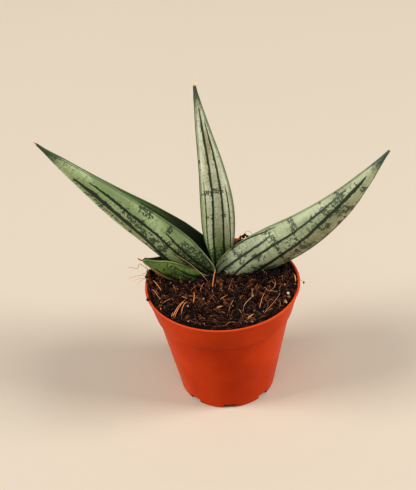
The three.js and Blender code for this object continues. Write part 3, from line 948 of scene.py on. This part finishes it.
def soil_mesh(name, rings, sides, top_only):
    """The mix as a closed plug, or only its top surface."""
    edge = soil_edge_radius()
    profile = [] if top_only else [
        (0, BASE_THICKNESS + GAP),
        (BASE_RADIUS - WALL - GAP, BASE_THICKNESS + GAP),
        (WALL_TOP_RADIUS - WALL - GAP, COLLAR_FOOT_Z - 0.6),
        (COLLAR_FOOT_RADIUS - WALL - GAP, COLLAR_FOOT_Z + 0.4),
    ]
    plug_rings = len(profile)
    profile += [(edge * k / rings, SOIL_EDGE_Z) for k in range(rings, -1, -1)]
    mesh = lathe_mesh(name, profile, sides)
    first_top = 1 + (plug_rings - 1) * sides if plug_rings else 0
    for vert in mesh.vertices[first_top:]:
        vert.co.z = soil_height(vert.co.x / MM, vert.co.y / MM) * MM
    return mesh


def mix_material(name, dark, light, rough):
    """Damp coir: each grain has a tone of its own, from nearly black to brown."""
    material, net = new_material(name)
    place = net.own_place()
    own = net.own_tone()
    patchy = net.noise(place, 420, 3.0)
    grain = net.noise(place, 2600, 2.0, 0.6)
    tone = (own ** 4.0) * 0.85 + (patchy - 0.5) * 0.6 + (grain - 0.5) * 0.4
    face = net.mix(tone.smooth(0.0, 1.0), dark, light)
    finish_material(
        net,
        {
            "Base Color": face,
            "Roughness": rough + (grain - 0.5) * 0.4,
            "Specular IOR Level": 0.2,
            "Normal": bump(net, grain, 0.25 * MM, 0.8),
        },
    )
    return material


def named_tree(name, inputs):
    """A Geometry Nodes tree with a mesh in, named inputs, and a mesh out: its net, inputs and identifiers."""
    tree = bpy.data.node_groups.new(name, "GeometryNodeTree")
    tree.interface.new_socket("Surface", in_out="INPUT", socket_type="NodeSocketGeometry")
    identifiers = {}
    for label, kind in inputs.items():
        socket = tree.interface.new_socket(label, in_out="INPUT", socket_type=kind)
        identifiers[label] = socket.identifier
    tree.interface.new_socket("Mesh", in_out="OUTPUT", socket_type="NodeSocketGeometry")
    net = Net(tree)
    given = net.add("NodeGroupInput")
    return tree, net, given, identifiers


def finish_tree(net, mesh, material):
    """Ends a tree: its mesh gets the given material."""
    painted = net.add("GeometryNodeSetMaterial", None, {"Geometry": mesh, "Material": material})
    net.add("NodeGroupOutput", None, {0: painted})


def random_value(net, low, high, seed):
    """A random number for each point or instance."""
    return net.add("FunctionNodeRandomValue", {"data_type": "FLOAT"}, {2: low, 3: high, "Seed": seed}, out=1)


def random_turn(net, seed, upright):
    """A random rotation for each point: any at all, or only round Z."""
    full = 2 * math.pi
    spread = (0, 0, full) if upright else (full, full, full)
    inputs = {0: (0, 0, 0), 1: spread, "Seed": seed}
    return net.add("FunctionNodeRandomValue", {"data_type": "FLOAT_VECTOR"}, inputs)


def remembered(net, geometry, name, value, domain="POINT"):
    """The geometry with a value kept for each of its points or instances."""
    settings = {"data_type": "FLOAT", "domain": domain}
    return net.add("GeometryNodeStoreNamedAttribute", settings, {"Geometry": geometry, "Name": name, "Value": value})


def recalled(net, name):
    """A value that was kept."""
    return net.add("GeometryNodeInputNamedAttribute", {"data_type": "FLOAT"}, {"Name": name})


def moved(net, geometry, offset):
    """The geometry with each point moved."""
    return net.add("GeometryNodeSetPosition", None, {"Geometry": geometry, "Offset": offset})


def sized_points(net, given, least, most, rarity, clearance):
    """Points spread over the surface, each with a size of its own, and at least clearance * size from the leaves.

    The higher the rarity, the rarer the large sizes.
    """
    seed = given.other("Seed")
    inputs = {"Mesh": given.other("Surface"), "Density": given.other("Density"), "Seed": seed}
    points = net.add("GeometryNodeDistributePointsOnFaces", {"distribute_method": "RANDOM"}, inputs)
    least = given.other(least)
    size = least + (given.other(most) - least) * random_value(net, 0, 1, seed + 1) ** rarity
    points = remembered(net, points, "size", size)
    own_size = recalled(net, "size")
    inputs = {"Object": given.other("Leaves")}
    leaves = net.add("GeometryNodeObjectInfo", {"transform_space": "RELATIVE"}, inputs, out="Geometry")
    far = net.add("GeometryNodeProximity", {"target_element": "FACES"}, {0: leaves}, out="Distance")
    inputs = {"Geometry": points, "Selection": far.math("LESS_THAN", own_size * clearance)}
    return net.add("GeometryNodeDeleteGeometry", {"domain": "POINT"}, inputs), own_size


def placed(net, points, shape, turn, scale, tint_seed):
    """The shape at every point, turned and scaled, each with a tone of its own, as real geometry."""
    inputs = {"Points": points, "Instance": shape, "Rotation": turn, "Scale": scale}
    shapes = net.add("GeometryNodeInstanceOnPoints", None, inputs)
    toned = remembered(net, shapes, "tint", random_value(net, 0, 1, tint_seed), "INSTANCE")
    return net.add("GeometryNodeRealizeInstances", None, {0: toned})


SCATTER_INPUTS = {
    "Leaves": "NodeSocketObject",
    "Density": "NodeSocketFloat",
    "Seed": "NodeSocketInt",
    "Material": "NodeSocketMaterial",
}


def crumb_tree():
    """Scatters rough crumbs over a surface, clear of the leaves."""
    sizes = {"Smallest": "NodeSocketFloat", "Largest": "NodeSocketFloat", "Stretch": "NodeSocketFloat"}
    tree, net, given, identifiers = named_tree(
        "crumbs_on_mix", {**SCATTER_INPUTS, **sizes, "Detail": "NodeSocketInt"}
    )
    seed = given.other("Seed")
    points, size = sized_points(net, given, "Smallest", "Largest", rarity=2.5, clearance=0.8)
    lifted = moved(net, points, net.place(0, 0, size * 0.25))
    ball = net.add("GeometryNodeMeshIcoSphere", None, {"Radius": 1.0, "Subdivisions": given.other("Detail")})
    scale = net.place(
        size * random_value(net, 0.7, 1.0, seed + 2) * given.other("Stretch"),
        size * random_value(net, 0.6, 1.0, seed + 3),
        size * random_value(net, 0.5, 0.9, seed + 4),
    )
    crumbs = placed(net, lifted, ball, random_turn(net, seed + 5, False), scale, seed + 6)
    rough = net.noise(net.add("GeometryNodeInputPosition"), 900, 2.0, 0.6) - 0.5
    inputs = {0: net.add("GeometryNodeInputNormal"), "Scale": rough * size * 2.4}
    uneven = moved(net, crumbs, net.add("ShaderNodeVectorMath", {"operation": "SCALE"}, inputs))
    finish_tree(net, uneven, given.other("Material"))
    return tree, identifiers


def fibre_tree():
    """Lays bent coir fibres over a surface, their ends rooted in it."""
    sizes = dict.fromkeys(("Shortest", "Longest", "Thickness", "Arch"), "NodeSocketFloat")
    tree, net, given, identifiers = named_tree("fibres_on_mix", {**SCATTER_INPUTS, **sizes})
    seed = given.other("Seed")
    points, length = sized_points(net, given, "Shortest", "Longest", rarity=2.0, clearance=0.42)
    line = net.add("GeometryNodeCurvePrimitiveLine", None, {"Start": (-0.5, 0, 0), "End": (0.5, 0, 0)})
    divided = net.add("GeometryNodeResampleCurve", None, {"Curve": line, "Count": 8})
    scale = net.place(length, length, length)
    fibres = placed(net, points, divided, random_turn(net, seed + 2, True), scale, seed + 3)

    tint = recalled(net, "tint")
    inputs = {"Vector": net.add("GeometryNodeInputPosition"), "W": tint * 60, "Scale": 170.0, "Detail": 1.0}
    sway_x, sway_y, _ = net.parts(net.add("ShaderNodeTexNoise", {"noise_dimensions": "4D"}, inputs, out="Color"))
    bend = length * 0.6
    bent = moved(net, fibres, net.place((sway_x - 0.5) * bend, (sway_y - 0.5) * bend, 0))

    # Each point is brought inside the pot, dropped on the mix from above, and lifted by the fibre's arch
    moved_x, moved_y, _ = net.parts(net.add("GeometryNodeInputPosition"))
    far = (moved_x * moved_x + moved_y * moved_y) ** 0.5
    inward = (0.97 * soil_edge_radius() * MM / far.math("MAXIMUM", MM)).math("MINIMUM", 1.0)
    above = net.place(moved_x * inward, moved_y * inward, DROP_FROM_Z * MM)
    inputs = {"Target Geometry": given.other("Surface"), "Source Position": above, "Ray Length": DROP_LENGTH * MM}
    ground_x, ground_y, ground_z = net.parts(net.add("GeometryNodeRaycast", None, inputs, out="Hit Position"))
    middle = 1 - (net.add("GeometryNodeSplineParameter", out="Factor") * 2 - 1) ** 2.0
    lift = given.other("Arch") * length * (tint * 7.3).math("FRACT") * middle
    place = net.place(ground_x, ground_y, ground_z + lift + middle * 0.35 * MM - 0.2 * MM)
    laid = net.add("GeometryNodeSetPosition", None, {"Geometry": bent, "Position": place})
    taper = given.other("Thickness") * (0.35 + middle * 0.65) * (0.6 + (tint * 3.7).math("FRACT") * 0.6)
    section = net.add("GeometryNodeCurvePrimitiveCircle", None, {"Resolution": 3, "Radius": 1.0})
    inputs = {"Curve": laid, "Profile Curve": section, "Scale": taper, "Fill Caps": True}
    tubes = net.add("GeometryNodeCurveToMesh", None, inputs)
    soft = net.add("GeometryNodeSetShadeSmooth", None, {"Geometry": tubes, "Shade Smooth": True})
    finish_tree(net, soft, given.other("Material"))
    return tree, identifiers


def scatter(name, surface, tree, identifiers, values):
    """A finished piece that a tree scatters over the surface."""
    piece = link_piece(name, surface.copy())
    modifier = piece.modifiers.new("scatter", "NODES")
    modifier.node_group = tree
    for label, value in values.items():
        modifier[identifiers[label]] = value
    settle(piece)
    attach(piece, BODY)


def fibre_material(name, dark, light, evenness):
    """Dry coir: each fibre has a tone of its own, and faint lengthwise grain."""
    material, net = new_material(name)
    place = net.own_place()
    own = net.own_tone()
    grain = net.noise(place, 1800, 2.0)
    tone = (own ** evenness) + (grain - 0.5) * 0.5
    face = net.mix(tone.smooth(0.0, 1.0), dark, light)
    finish_material(net, {"Base Color": face, "Roughness": 0.55 + grain * 0.2, "Specular IOR Level": 0.3})
    return material


# Single fibres and crumbs that show one by one, in millimetres. A fibre on the mix has (x, y) points, and its middle is
# lifted off the mix; one that leaves it has (x, y, z) points.
Strand = namedtuple("Strand", "radius lift points")

TAN_STRANDS = [
    Strand(0.12, 0, [(-15.4, 0.9, 57), (-13.1, 1, 54.9), (-11.1, 1.4, 52.7), (-9, 1.8, 49.9), (-7.2, 1.2, 47.9),
                     (-5.6, 0, 46.3), (-4.6, -1.6, 45.3)]),
    Strand(0.12, 1, [(10.1, -11.6), (9.1, -12.8), (8, -14.4), (7.1, -16.3), (6.5, -17.1), (6.3, -18)]),
    Strand(0.15, 1.4, [(-16.2, -7.4), (-14.1, -9.6), (-12.4, -10)]),
    Strand(0.23, 0.9, [(7.8, -21.7), (8.8, -21), (9.9, -19.8)]),
    Strand(0.1, 1, [(20.4, -7), (19, -11.5), (17.2, -14.5), (14.8, -18), (13.4, -19.3)]),
    Strand(0.1, 1.1, [(20.5, -7.1), (18.6, -9), (17.2, -8.6), (15.5, -9.7), (14.6, -7.9), (14.3, -6.8)]),
    Strand(0.12, 1.3, [(17.9, 0.5), (18.5, -2.7), (18.4, -5.2), (17.8, -6.8), (16.3, -8)]),
    Strand(0.12, 0.9, [(-25, -2.3), (-24, -4.6), (-23.2, -6.3), (-21.8, -9)]),
    Strand(0.14, 2.2, [(-12.7, -11.6), (-13.5, -14.6), (-14.3, -16.3)]),
    Strand(0.12, 0.9, [(-17.9, -18.6), (-17.5, -17.2), (-17, -15.3)]),
    Strand(0.12, 0.9, [(4.9, -16.6), (5.6, -18.9), (6.2, -20.6)]),
    Strand(0.09, 0.9, [(3.3, -1.9), (2.2, -6.5), (1.4, -8.6)]),
]

RUSSET_STRANDS = [
    Strand(0.18, 0, [(-2.3, 1.6, 49.4), (-2.8, 0.2, 48), (-3.3, -2.4, 47), (-3.6, -5.4, 46.7), (-3.8, -9.6, 45.4)]),
    Strand(0.17, 1, [(-24.5, 2.4), (-23, -1.2), (-21.5, -3.7)]),
    Strand(0.14, 1, [(-18.3, 0.1), (-17, -3.7), (-15.8, -6)]),
    Strand(0.18, 1.2, [(-10.2, -6.4), (-9.6, -10.2), (-10.5, -12.6)]),
    Strand(0.18, 1.1, [(1.9, -8.8), (-0.2, -11), (-2.3, -12.6)]),
    Strand(0.3, 0.6, [(-0.5, -15.3), (-1.5, -15.8), (-2.5, -16.2)]),
    Strand(0.2, 2, [(-13.2, -10), (-15.3, -14.3), (-17.4, -18.4)]),
    Strand(0.16, 1.8, [(-13.8, -11.8), (-15.5, -15.5), (-16.8, -18.3)]),
    Strand(0.12, 1.9, [(-12.2, -11.8), (-13.7, -15.6), (-14.6, -17.4)]),
    Strand(0.26, 0.6, [(25.7, 1.3), (25.8, -0.8), (25.7, -2.7)]),
    Strand(0.1, 1, [(14.3, -9.4), (13.3, -12.8), (12.7, -15.6), (12.1, -17.6)]),
    Strand(0.1, 1.2, [(10, -6.1), (10.1, -9.3), (9.9, -11.6)]),
    Strand(0.14, 0.9, [(-6.5, -1.3), (-7.6, -5), (-8.1, -7.6)]),
    Strand(0.1, 1, [(4.3, -10.6), (2.6, -14.6), (1.6, -17.6)]),
    Strand(0.12, 0.9, [(-21, -10.6), (-19.1, -9.9), (-17.6, -8.7)]),
    Strand(0.15, 0, [(5.8, 25.4, 44.2), (7.6, 26.2, 46), (9.6, 26.6, 46.6), (11.6, 26, 45.6)]),
    Strand(0.09, 0, [(8.6, 25.6, 44.6), (9.2, 26.4, 47), (10.4, 26.6, 48), (11.8, 26.2, 47.6), (12.2, 26, 46.6)]),
]

HAIRS = [
    Strand(0.09, 0, [(-25.2, 5.6, 44.4), (-26.3, 6, 47.4), (-26.9, 6, 48.5), (-27.9, 6, 49.4), (-28.8, 6, 50.6),
                     (-29.4, 6, 50.3), (-29.6, 6, 49), (-30.1, 6, 48.4), (-31.2, 6, 48.8), (-32.2, 6, 49.2),
                     (-33.3, 6, 49.1)]),
    Strand(0.08, 0, [(-25.4, 5, 44.6), (-26.2, 5, 48.3), (-26.5, 4.6, 50.1), (-27, 4.2, 51.7), (-27.4, 3.8, 53)]),
    Strand(0.07, 0, [(-25, 3, 44.2), (-25.9, 3, 46.7), (-26.8, 3, 47.4), (-28.7, 3, 47.6), (-30.5, 3, 47.4),
                     (-32, 3, 47), (-33.3, 3, 46.5)]),
    Strand(0.06, 0, [(-25, 2, 44.2), (-26.1, 2, 46.4), (-27, 2, 46.9), (-28.7, 2, 47.1), (-30.2, 2, 46.7),
                     (-31.7, 2, 46)]),
    Strand(0.06, 0, [(-25, 2.4, 44.2), (-26.2, 2, 47), (-27.7, 2, 46.6), (-29.2, 2, 45.7), (-30.3, 2, 44.4)]),
    Strand(0.1, 0, [(-25.4, 4.6, 44.6), (-26.3, 4.8, 46.8), (-27.4, 5, 47.1), (-28.6, 5, 46.8)]),
    Strand(0.08, 0, [(24.4, -1.4, 43.6), (26.2, -1.6, 45.6), (27.6, -2, 45.5), (28.6, -2.3, 44.2)]),
]

DRY_TIP = [
    Strand(0.24, 0, [(-26.6, 2.9, 53.4), (-27.4, 2.9, 54), (-28.1, 2.9, 54.3), (-28.8, 2.9, 54.8), (-29, 2.9, 55.1)]),
]

# Crumbs as (x, y, z, radius): those on and by the rim, and the pale ones
RIM_CRUMBS = [
    (-26.0, -8.3, 45.1, 0.5), (-26.3, -7.2, 45.1, 0.35), (-26.9, 2.4, 45.2, 0.35), (-26.7, 3.4, 45.3, 0.5),
    (-26.5, 4.4, 45.5, 0.6), (-27.1, 4.9, 45.3, 0.4), (-26.4, 5.4, 45.6, 0.6), (-26.9, 6.1, 45.2, 0.5),
    (-26.0, 6.6, 45.5, 0.65), (-25.8, 7.8, 45.4, 0.55), (-26.2, 8.2, 45.0, 0.4), (-25.3, 8.8, 45.2, 0.7),
    (-25.4, 7.2, 45.6, 0.7), (-25.4, 5.9, 45.5, 0.7), (-25.6, 4.6, 45.3, 0.55), (-24.8, 7.9, 46.0, 0.6),
    (28.6, -2.3, 44.1, 0.3), (8.8, 26.2, 45.8, 0.6), (10.2, 25.9, 45.8, 0.5), (9.5, 26.1, 46.5, 0.4),
    (7.6, 26.2, 45.6, 0.45), (11.2, 25.6, 45.5, 0.4),
]

PALE_CRUMBS = [
    (-26.5, 6, 47.1, 0.4), (-21.5, 3.7, 45.2, 0.36), (-7, -10.7, 46.2, 0.34), (-8.6, -19.8, 45.7, 0.28),
    (-0.3, -8, 47.1, 0.22), (22.5, -9.4, 45.4, 0.38), (22.6, -11.5, 45.2, 0.46), (21.3, -13.9, 45.2, 0.5),
    (9, -23.6, 45.3, 0.46), (13.4, -18.6, 45.4, 0.34), (10.3, -18.2, 45.5, 0.3), (10, -11.8, 47, 0.32),
    (15.8, -0.8, 45.6, 0.3), (3.3, -14.6, 45.4, 0.28), (4.8, -14.8, 45.9, 0.24), (25.4, -3.9, 45.1, 0.34),
    (20.4, -7.7, 45.9, 0.24), (7.4, -5.3, 46, 0.22), (-12.3, -21.6, 45.3, 0.24), (-3.3, -21.6, 45.4, 0.22),
]


def toned_piece(name, mesh, material, tone, drift, fineness):
    """A finished piece whose tone drifts from place to place, in spots about 1 / fineness across."""
    tint = mesh.attributes.new("tint", "FLOAT", "POINT")
    for k, vert in enumerate(mesh.vertices):
        tint.data[k].value = tone + drift * noise.noise(vert.co * fineness)
    piece = link_piece(name, mesh, material)
    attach(piece, BODY)


def strand_piece(name, strands, material, tone):
    """Single fibres as smooth tapered tubes in one mesh."""
    curve = bpy.data.curves.new(name, "CURVE")
    curve.dimensions = "3D"
    curve.bevel_depth = 1.0
    curve.bevel_resolution = 1
    curve.resolution_u = 6
    curve.use_fill_caps = True
    for strand in strands:
        spline = curve.splines.new("NURBS")
        last = len(strand.points) - 1
        spline.points.add(last)
        for k, point in enumerate(strand.points):
            if len(point) == 2:
                point = (*point, soil_height(*point) + STRAND_FOOT + strand.lift * math.sin(math.pi * k / last))
            spline.points[k].co = (*(Vector(point) * MM), 1)
            taper = 0.55 + 0.45 * math.sin(math.pi * (0.1 + 0.8 * k / last))
            spline.points[k].radius = strand.radius * MM * taper
        spline.use_endpoint_u = True
        spline.order_u = 3
    helper = link_piece(name + "_path", curve)
    mesh = evaluated_mesh(helper)
    discard(helper)
    for polygon in mesh.polygons:
        polygon.use_smooth = True
    toned_piece(name, mesh, material, tone, drift=0.3, fineness=60)


def edge_crumbs():
    """Crumbs that lie between the mix and the wall, all the way round, as (x, y, z, radius)."""
    crumbs = []
    for k in range(EDGE_CRUMBS):
        angle = k * GOLDEN_ANGLE
        draw = noise.random_unit_vector()
        radius = 0.3 + 0.12 * draw.x
        reach = soil_edge_radius() + 0.15 + 0.15 * draw.y
        x, y = reach * math.cos(angle), reach * math.sin(angle)
        crumbs.append((x, y, soil_height(x, y) + 0.1 + 0.15 * draw.z, radius))
    return crumbs


def crumb_piece(name, crumbs, material, roughness, tone, detail=2):
    """Single crumbs in one mesh."""
    work = bmesh.new()
    for x, y, z, radius in crumbs:
        centre = Vector((x, y, z)) * MM
        place = Matrix.Translation(centre)
        made = bmesh.ops.create_icosphere(work, subdivisions=detail, radius=radius * MM, matrix=place)
        for vert in made["verts"]:
            vert.co = centre + (vert.co - centre) * (1 + roughness * noise.noise(vert.co * 1800))
    toned_piece(name, finished_mesh(name, work), material, tone, drift=0.5, fineness=300)


def build_mix():
    """The plug of mix, cut clear of the leaves, with its grains, crumbs, flecks and fibres."""
    cutters = leaf_cutters()
    settings = bpy.context.scene.snake_plant.mix
    body_tone = mix_material("damp_coir", srgb(9, 5, 6), srgb(36, 21, 17), 0.9)
    crumb_tone = mix_material("coir_crumbs", srgb(12, 7, 8), srgb(114, 68, 50), 0.85)
    pale_tone = mix_material("pale_flecks", srgb(120, 96, 70), srgb(214, 196, 168), 0.8)
    russet = fibre_material("russet_fibre", srgb(84, 42, 22), srgb(224, 146, 84), 1.2)
    tan = fibre_material("tan_fibre", srgb(172, 116, 74), srgb(226, 184, 140), 1.0)
    dry = fibre_material("dry_leaf_tip", srgb(150, 58, 22), srgb(222, 110, 58), 1.0)
    brown = fibre_material("brown_fibre", srgb(20, 11, 10), srgb(188, 114, 72), 3.4)

    plug = link_piece("mix_body", soil_mesh("mix_body", PLUG_RINGS, PLUG_SIDES, False), body_tone)
    cut(plug, cutters)
    paint(plug, body_tone)
    smooth_up_to(plug.data, CREASE)
    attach(plug, BODY)
    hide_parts("soil")

    work = bmesh.new()
    for cutter in cutters:
        work.from_mesh(cutter.data)
    leaves = link_piece("leaf_shapes", finished_mesh("leaf_shapes", work))

    surface = soil_mesh("mix_top", TOP_RINGS, TOP_SIDES, True)
    area = math.pi * (soil_edge_radius() * MM) ** 2
    crumb_labels = ("Smallest", "Largest", "Stretch", "Detail")
    fibre_labels = ("Shortest", "Longest", "Thickness", "Arch")
    crumbs, fibres = crumb_tree(), fibre_tree()
    for name, labels, tree, count, seed, material, sizes in (
        ("mix_grains", crumb_labels, crumbs, settings.grains, 0, crumb_tone, (0.16 * MM, 0.42 * MM, 2.0, 1)),
        ("mix_crumbs", crumb_labels, crumbs, settings.crumbs, 20, crumb_tone, (0.4 * MM, 1.15 * MM, 1.5, 2)),
        ("mix_chips", crumb_labels, crumbs, settings.chips, 40, russet, (0.2 * MM, 0.5 * MM, 3.2, 1)),
        ("mix_flecks", crumb_labels, crumbs, settings.flecks, 60, pale_tone, (0.2 * MM, 0.5 * MM, 1.6, 1)),
        ("mix_fine_fibres", fibre_labels, fibres, settings.fibres, 100, brown, (1.5 * MM, 7.5 * MM, 0.055 * MM, 0.14)),
        ("mix_fibres", fibre_labels, fibres, settings.fibres // 14, 120, russet, (3 * MM, 11 * MM, 0.07 * MM, 0.14)),
    ):
        values = {"Leaves": leaves, "Density": count / area, "Seed": settings.seed + seed, "Material": material}
        values.update(zip(labels, sizes))
        scatter(name, surface, *tree, values)

    strand_piece("tan_strands", TAN_STRANDS, tan, 0.3)
    strand_piece("russet_strands", RUSSET_STRANDS, russet, 0.8)
    strand_piece("rim_hairs", HAIRS, russet, 0.75)
    strand_piece("leaf_small_tip", DRY_TIP, dry, 0.5)
    noise.seed_set(settings.seed)
    crumb_piece("mix_edge_crumbs", edge_crumbs(), crumb_tone, 1.2, 0.6, 1)
    crumb_piece("mix_rim_crumbs", RIM_CRUMBS, crumb_tone, 1.4, 0.75)
    crumb_piece("pale_crumbs", PALE_CRUMBS, pale_tone, 1.3, 0.8)
    discard(leaves, *cutters)


def dress_crown():
    """Dry, corky skin on the buried crown and its roots."""
    material, net = new_material("corky_crown")
    place = net.own_place()
    rings = net.noise(net.stretched(place, (300, 300, 900)), 1.0, 3.0)
    face = net.mix(rings.smooth(0.35, 0.65), srgb(150, 110, 66), srgb(214, 176, 122))
    finish_material(net, {"Base Color": face, "Roughness": 0.8, "Normal": bump(net, rings, 0.3 * MM)})
    paint(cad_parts["crown"], material)


# Stage
def soft_light(name, place, size, power):
    """A large soft lamp at a place, turned to the plant."""
    lamp = bpy.data.lights.new(name, "AREA")
    lamp.shape = "RECTANGLE"
    lamp.size, lamp.size_y = size
    lamp.energy = power
    lamp.color = LAMP_COLOUR
    holder = link_piece(name, lamp)
    holder.location = place
    holder.rotation_mode = "QUATERNION"
    holder.rotation_quaternion = (Vector(place) - Vector(LAMP_TARGET)).to_track_quat("Z", "Y")


def build_floor(settings):
    """The plain pale floor."""
    material, net = new_material("studio_floor")
    drift = net.noise(net.own_place(), 3.0, 2.0)
    colour = (*settings.floor_colour, 1.0)
    darker = (*(0.93 * value for value in settings.floor_colour), 1.0)
    finish_material(net, {"Base Color": net.mix(drift, colour, darker), "Roughness": 0.9})
    corners = [(-1, -1), (1, -1), (1, 1), (-1, 1)]
    mesh = bpy.data.meshes.new("studio_floor")
    mesh.from_pydata([(x * FLOOR_REACH, y * FLOOR_REACH, 0) for x, y in corners], [], [(0, 1, 2, 3)])
    floor = link_piece("studio_floor", mesh, material)


def build_air(settings):
    """Soft light from all round. The camera sees it in the floor's tone."""
    world = bpy.data.worlds.new("studio_air")
    world.use_nodes = True
    world.node_tree.nodes.clear()
    net = Net(world.node_tree)
    light = net.add("ShaderNodeBackground", None, {"Color": (1.0, 0.97, 0.93, 1.0), "Strength": settings.air})
    seen = net.add("ShaderNodeBackground", None, {"Color": srgb(220, 207, 188), "Strength": 1.0})
    by_camera = net.add("ShaderNodeLightPath", out="Is Camera Ray")
    both = net.add("ShaderNodeMixShader", None, {0: by_camera, 1: light, 2: seen})
    net.add("ShaderNodeOutputWorld", None, {"Surface": both})
    bpy.context.scene.world = world


def build_camera():
    """The camera, where the photograph was taken from."""
    data = bpy.data.cameras.new("photo_camera")
    data.sensor_width = SENSOR
    data.lens = FOCAL_PIXELS / FRAME_SIDE * SENSOR
    data.shift_x = (FRAME_CENTRE[0] - AXIS_PIXEL[0]) / FRAME_SIDE
    data.shift_y = (AXIS_PIXEL[1] - FRAME_CENTRE[1]) / FRAME_SIDE
    data.clip_start = 0.01
    camera = link_piece("photo_camera", data)
    back = Vector((0, -math.cos(VIEW_ELEVATION), math.sin(VIEW_ELEVATION)))
    camera.location = back * VIEW_DISTANCE + Vector((0, 0, VIEW_HEIGHT))
    camera.rotation_mode = "QUATERNION"
    camera.rotation_quaternion = back.to_track_quat("Z", "Y") @ Quaternion((0, 0, 1), VIEW_ROLL)
    bpy.context.scene.camera = camera


def build_stage():
    """A plain pale floor, soft studio light and the camera of the photograph."""
    settings = bpy.context.scene.snake_plant.stage
    build_floor(settings)
    bpy.context.scene.view_settings.view_transform = "Standard"
    bpy.context.scene.view_settings.look = "Medium High Contrast"
    build_air(settings)
    soft_light("key_light", (2.5, -0.38, 1.6), (1.25, 1.75), settings.key_power)
    soft_light("fill_light", (-2.5, -0.38, 1.6), (1.25, 1.75), settings.fill_power)
    soft_light("top_light", (-0.3, -1.6, 2.9), (1.9, 1.5), settings.top_power)
    build_camera()


# Settings that a user would change
class PotSettings(bpy.types.PropertyGroup):
    """The pot's look."""

    colour: bpy.props.FloatVectorProperty(
        name="Colour", description="Colour of the moulded plastic", subtype="COLOR", size=3, min=0, max=1,
        default=(0.52, 0.046, 0.001),
    )
    roughness: bpy.props.FloatProperty(
        name="Roughness", description="How satin the plastic is", subtype="FACTOR", min=0, max=1, default=0.36
    )
    notches: bpy.props.IntProperty(
        name="Notches", description="Drainage notches round the base", min=0, max=16, default=8
    )


class MixSettings(bpy.types.PropertyGroup):
    """What lies on the potting mix."""

    grains: bpy.props.IntProperty(name="Grains", description="Fine grains on the surface", min=0, default=7600)
    crumbs: bpy.props.IntProperty(name="Crumbs", description="Larger crumbs on the surface", min=0, default=520)
    chips: bpy.props.IntProperty(name="Chips", description="Russet chips of husk", min=0, default=110)
    flecks: bpy.props.IntProperty(name="Flecks", description="Pale flecks in the mix", min=0, default=80)
    fibres: bpy.props.IntProperty(name="Fibres", description="Fine coir fibres", min=0, default=3000)
    seed: bpy.props.IntProperty(name="Seed", description="Seed of every scatter", default=11)


class LeafSettings(bpy.types.PropertyGroup):
    """The blades' markings."""

    mottling: bpy.props.FloatProperty(
        name="Mottling", description="How strongly the blades are mottled", min=0, max=2, default=1.0
    )


class StageSettings(bpy.types.PropertyGroup):
    """Floor and light."""

    floor_colour: bpy.props.FloatVectorProperty(
        name="Floor", description="Colour of the plain floor", subtype="COLOR", size=3, min=0, max=1,
        default=srgb(204, 194, 180)[:3],
    )
    air: bpy.props.FloatProperty(name="Air", description="Strength of the light from all round", min=0, default=0.22)
    key_power: bpy.props.FloatProperty(
        name="Key light", description="Power of the lamp at the right", unit="POWER", min=0, default=78.0
    )
    fill_power: bpy.props.FloatProperty(
        name="Fill light", description="Power of the lamp at the left", unit="POWER", min=0, default=71.0
    )
    top_power: bpy.props.FloatProperty(
        name="Top light", description="Power of the lamp above", unit="POWER", min=0, default=20.0
    )


class PlantSettings(bpy.types.PropertyGroup):
    """All settings of the potted plant."""

    pot: bpy.props.PointerProperty(name="Pot", description="The pot's look", type=PotSettings)
    mix: bpy.props.PointerProperty(name="Mix", description="The potting mix", type=MixSettings)
    leaves: bpy.props.PointerProperty(name="Leaves", description="The blades' markings", type=LeafSettings)
    stage: bpy.props.PointerProperty(name="Stage", description="Floor and light", type=StageSettings)


class MakeStage(bpy.types.Operator):
    """Make the floor, the lights and the camera"""

    bl_idname = "snake_plant.make_stage"
    bl_label = "Stage"

    def execute(self, context):
        build_stage()
        return {"FINISHED"}


class MakePot(bpy.types.Operator):
    """Make the plastic nursery pot"""

    bl_idname = "snake_plant.make_pot"
    bl_label = "Pot"

    def execute(self, context):
        build_pot()
        return {"FINISHED"}


class MakeLeaves(bpy.types.Operator):
    """Make the four leaves"""

    bl_idname = "snake_plant.make_leaves"
    bl_label = "Leaves"

    def execute(self, context):
        build_leaves()
        return {"FINISHED"}


class MakeMix(bpy.types.Operator):
    """Make the potting mix that the leaves stand in"""

    bl_idname = "snake_plant.make_mix"
    bl_label = "Potting mix"

    def execute(self, context):
        build_mix()
        return {"FINISHED"}


class DressCrown(bpy.types.Operator):
    """Give the buried crown its corky skin"""

    bl_idname = "snake_plant.dress_crown"
    bl_label = "Crown"

    def execute(self, context):
        dress_crown()
        return {"FINISHED"}


class PlantPanel(bpy.types.Panel):
    """Lists the plant's settings and the steps that make it."""

    bl_idname = "VIEW3D_PT_snake_plant"
    bl_label = "Potted snake plant"
    bl_space_type = "VIEW_3D"
    bl_region_type = "UI"
    bl_category = "Plant"

    def draw(self, context):
        for group in ("pot", "mix", "leaves", "stage"):
            settings = getattr(context.scene.snake_plant, group)
            box = self.layout.box()
            for name in settings.bl_rna.properties.keys():
                if name not in ("rna_type", "name"):
                    box.prop(settings, name)
        for step in STEPS:
            self.layout.operator(step.bl_idname)


STEPS = (MakeStage, MakePot, MakeLeaves, MakeMix, DressCrown)
CLASSES = (PotSettings, MixSettings, LeafSettings, StageSettings, PlantSettings, *STEPS, PlantPanel)


def register():
    for kind in CLASSES:
        bpy.utils.register_class(kind)
    bpy.types.Scene.snake_plant = bpy.props.PointerProperty(type=PlantSettings)


def unregister():
    del bpy.types.Scene.snake_plant
    for kind in reversed(CLASSES):
        bpy.utils.unregister_class(kind)


def main():
    """Makes every piece in order."""
    register()
    bpy.ops.snake_plant.make_stage()
    bpy.ops.snake_plant.make_pot()
    bpy.ops.snake_plant.make_leaves()
    bpy.ops.snake_plant.make_mix()
    bpy.ops.snake_plant.dress_crown()


if __name__ == "__main__":
    main()
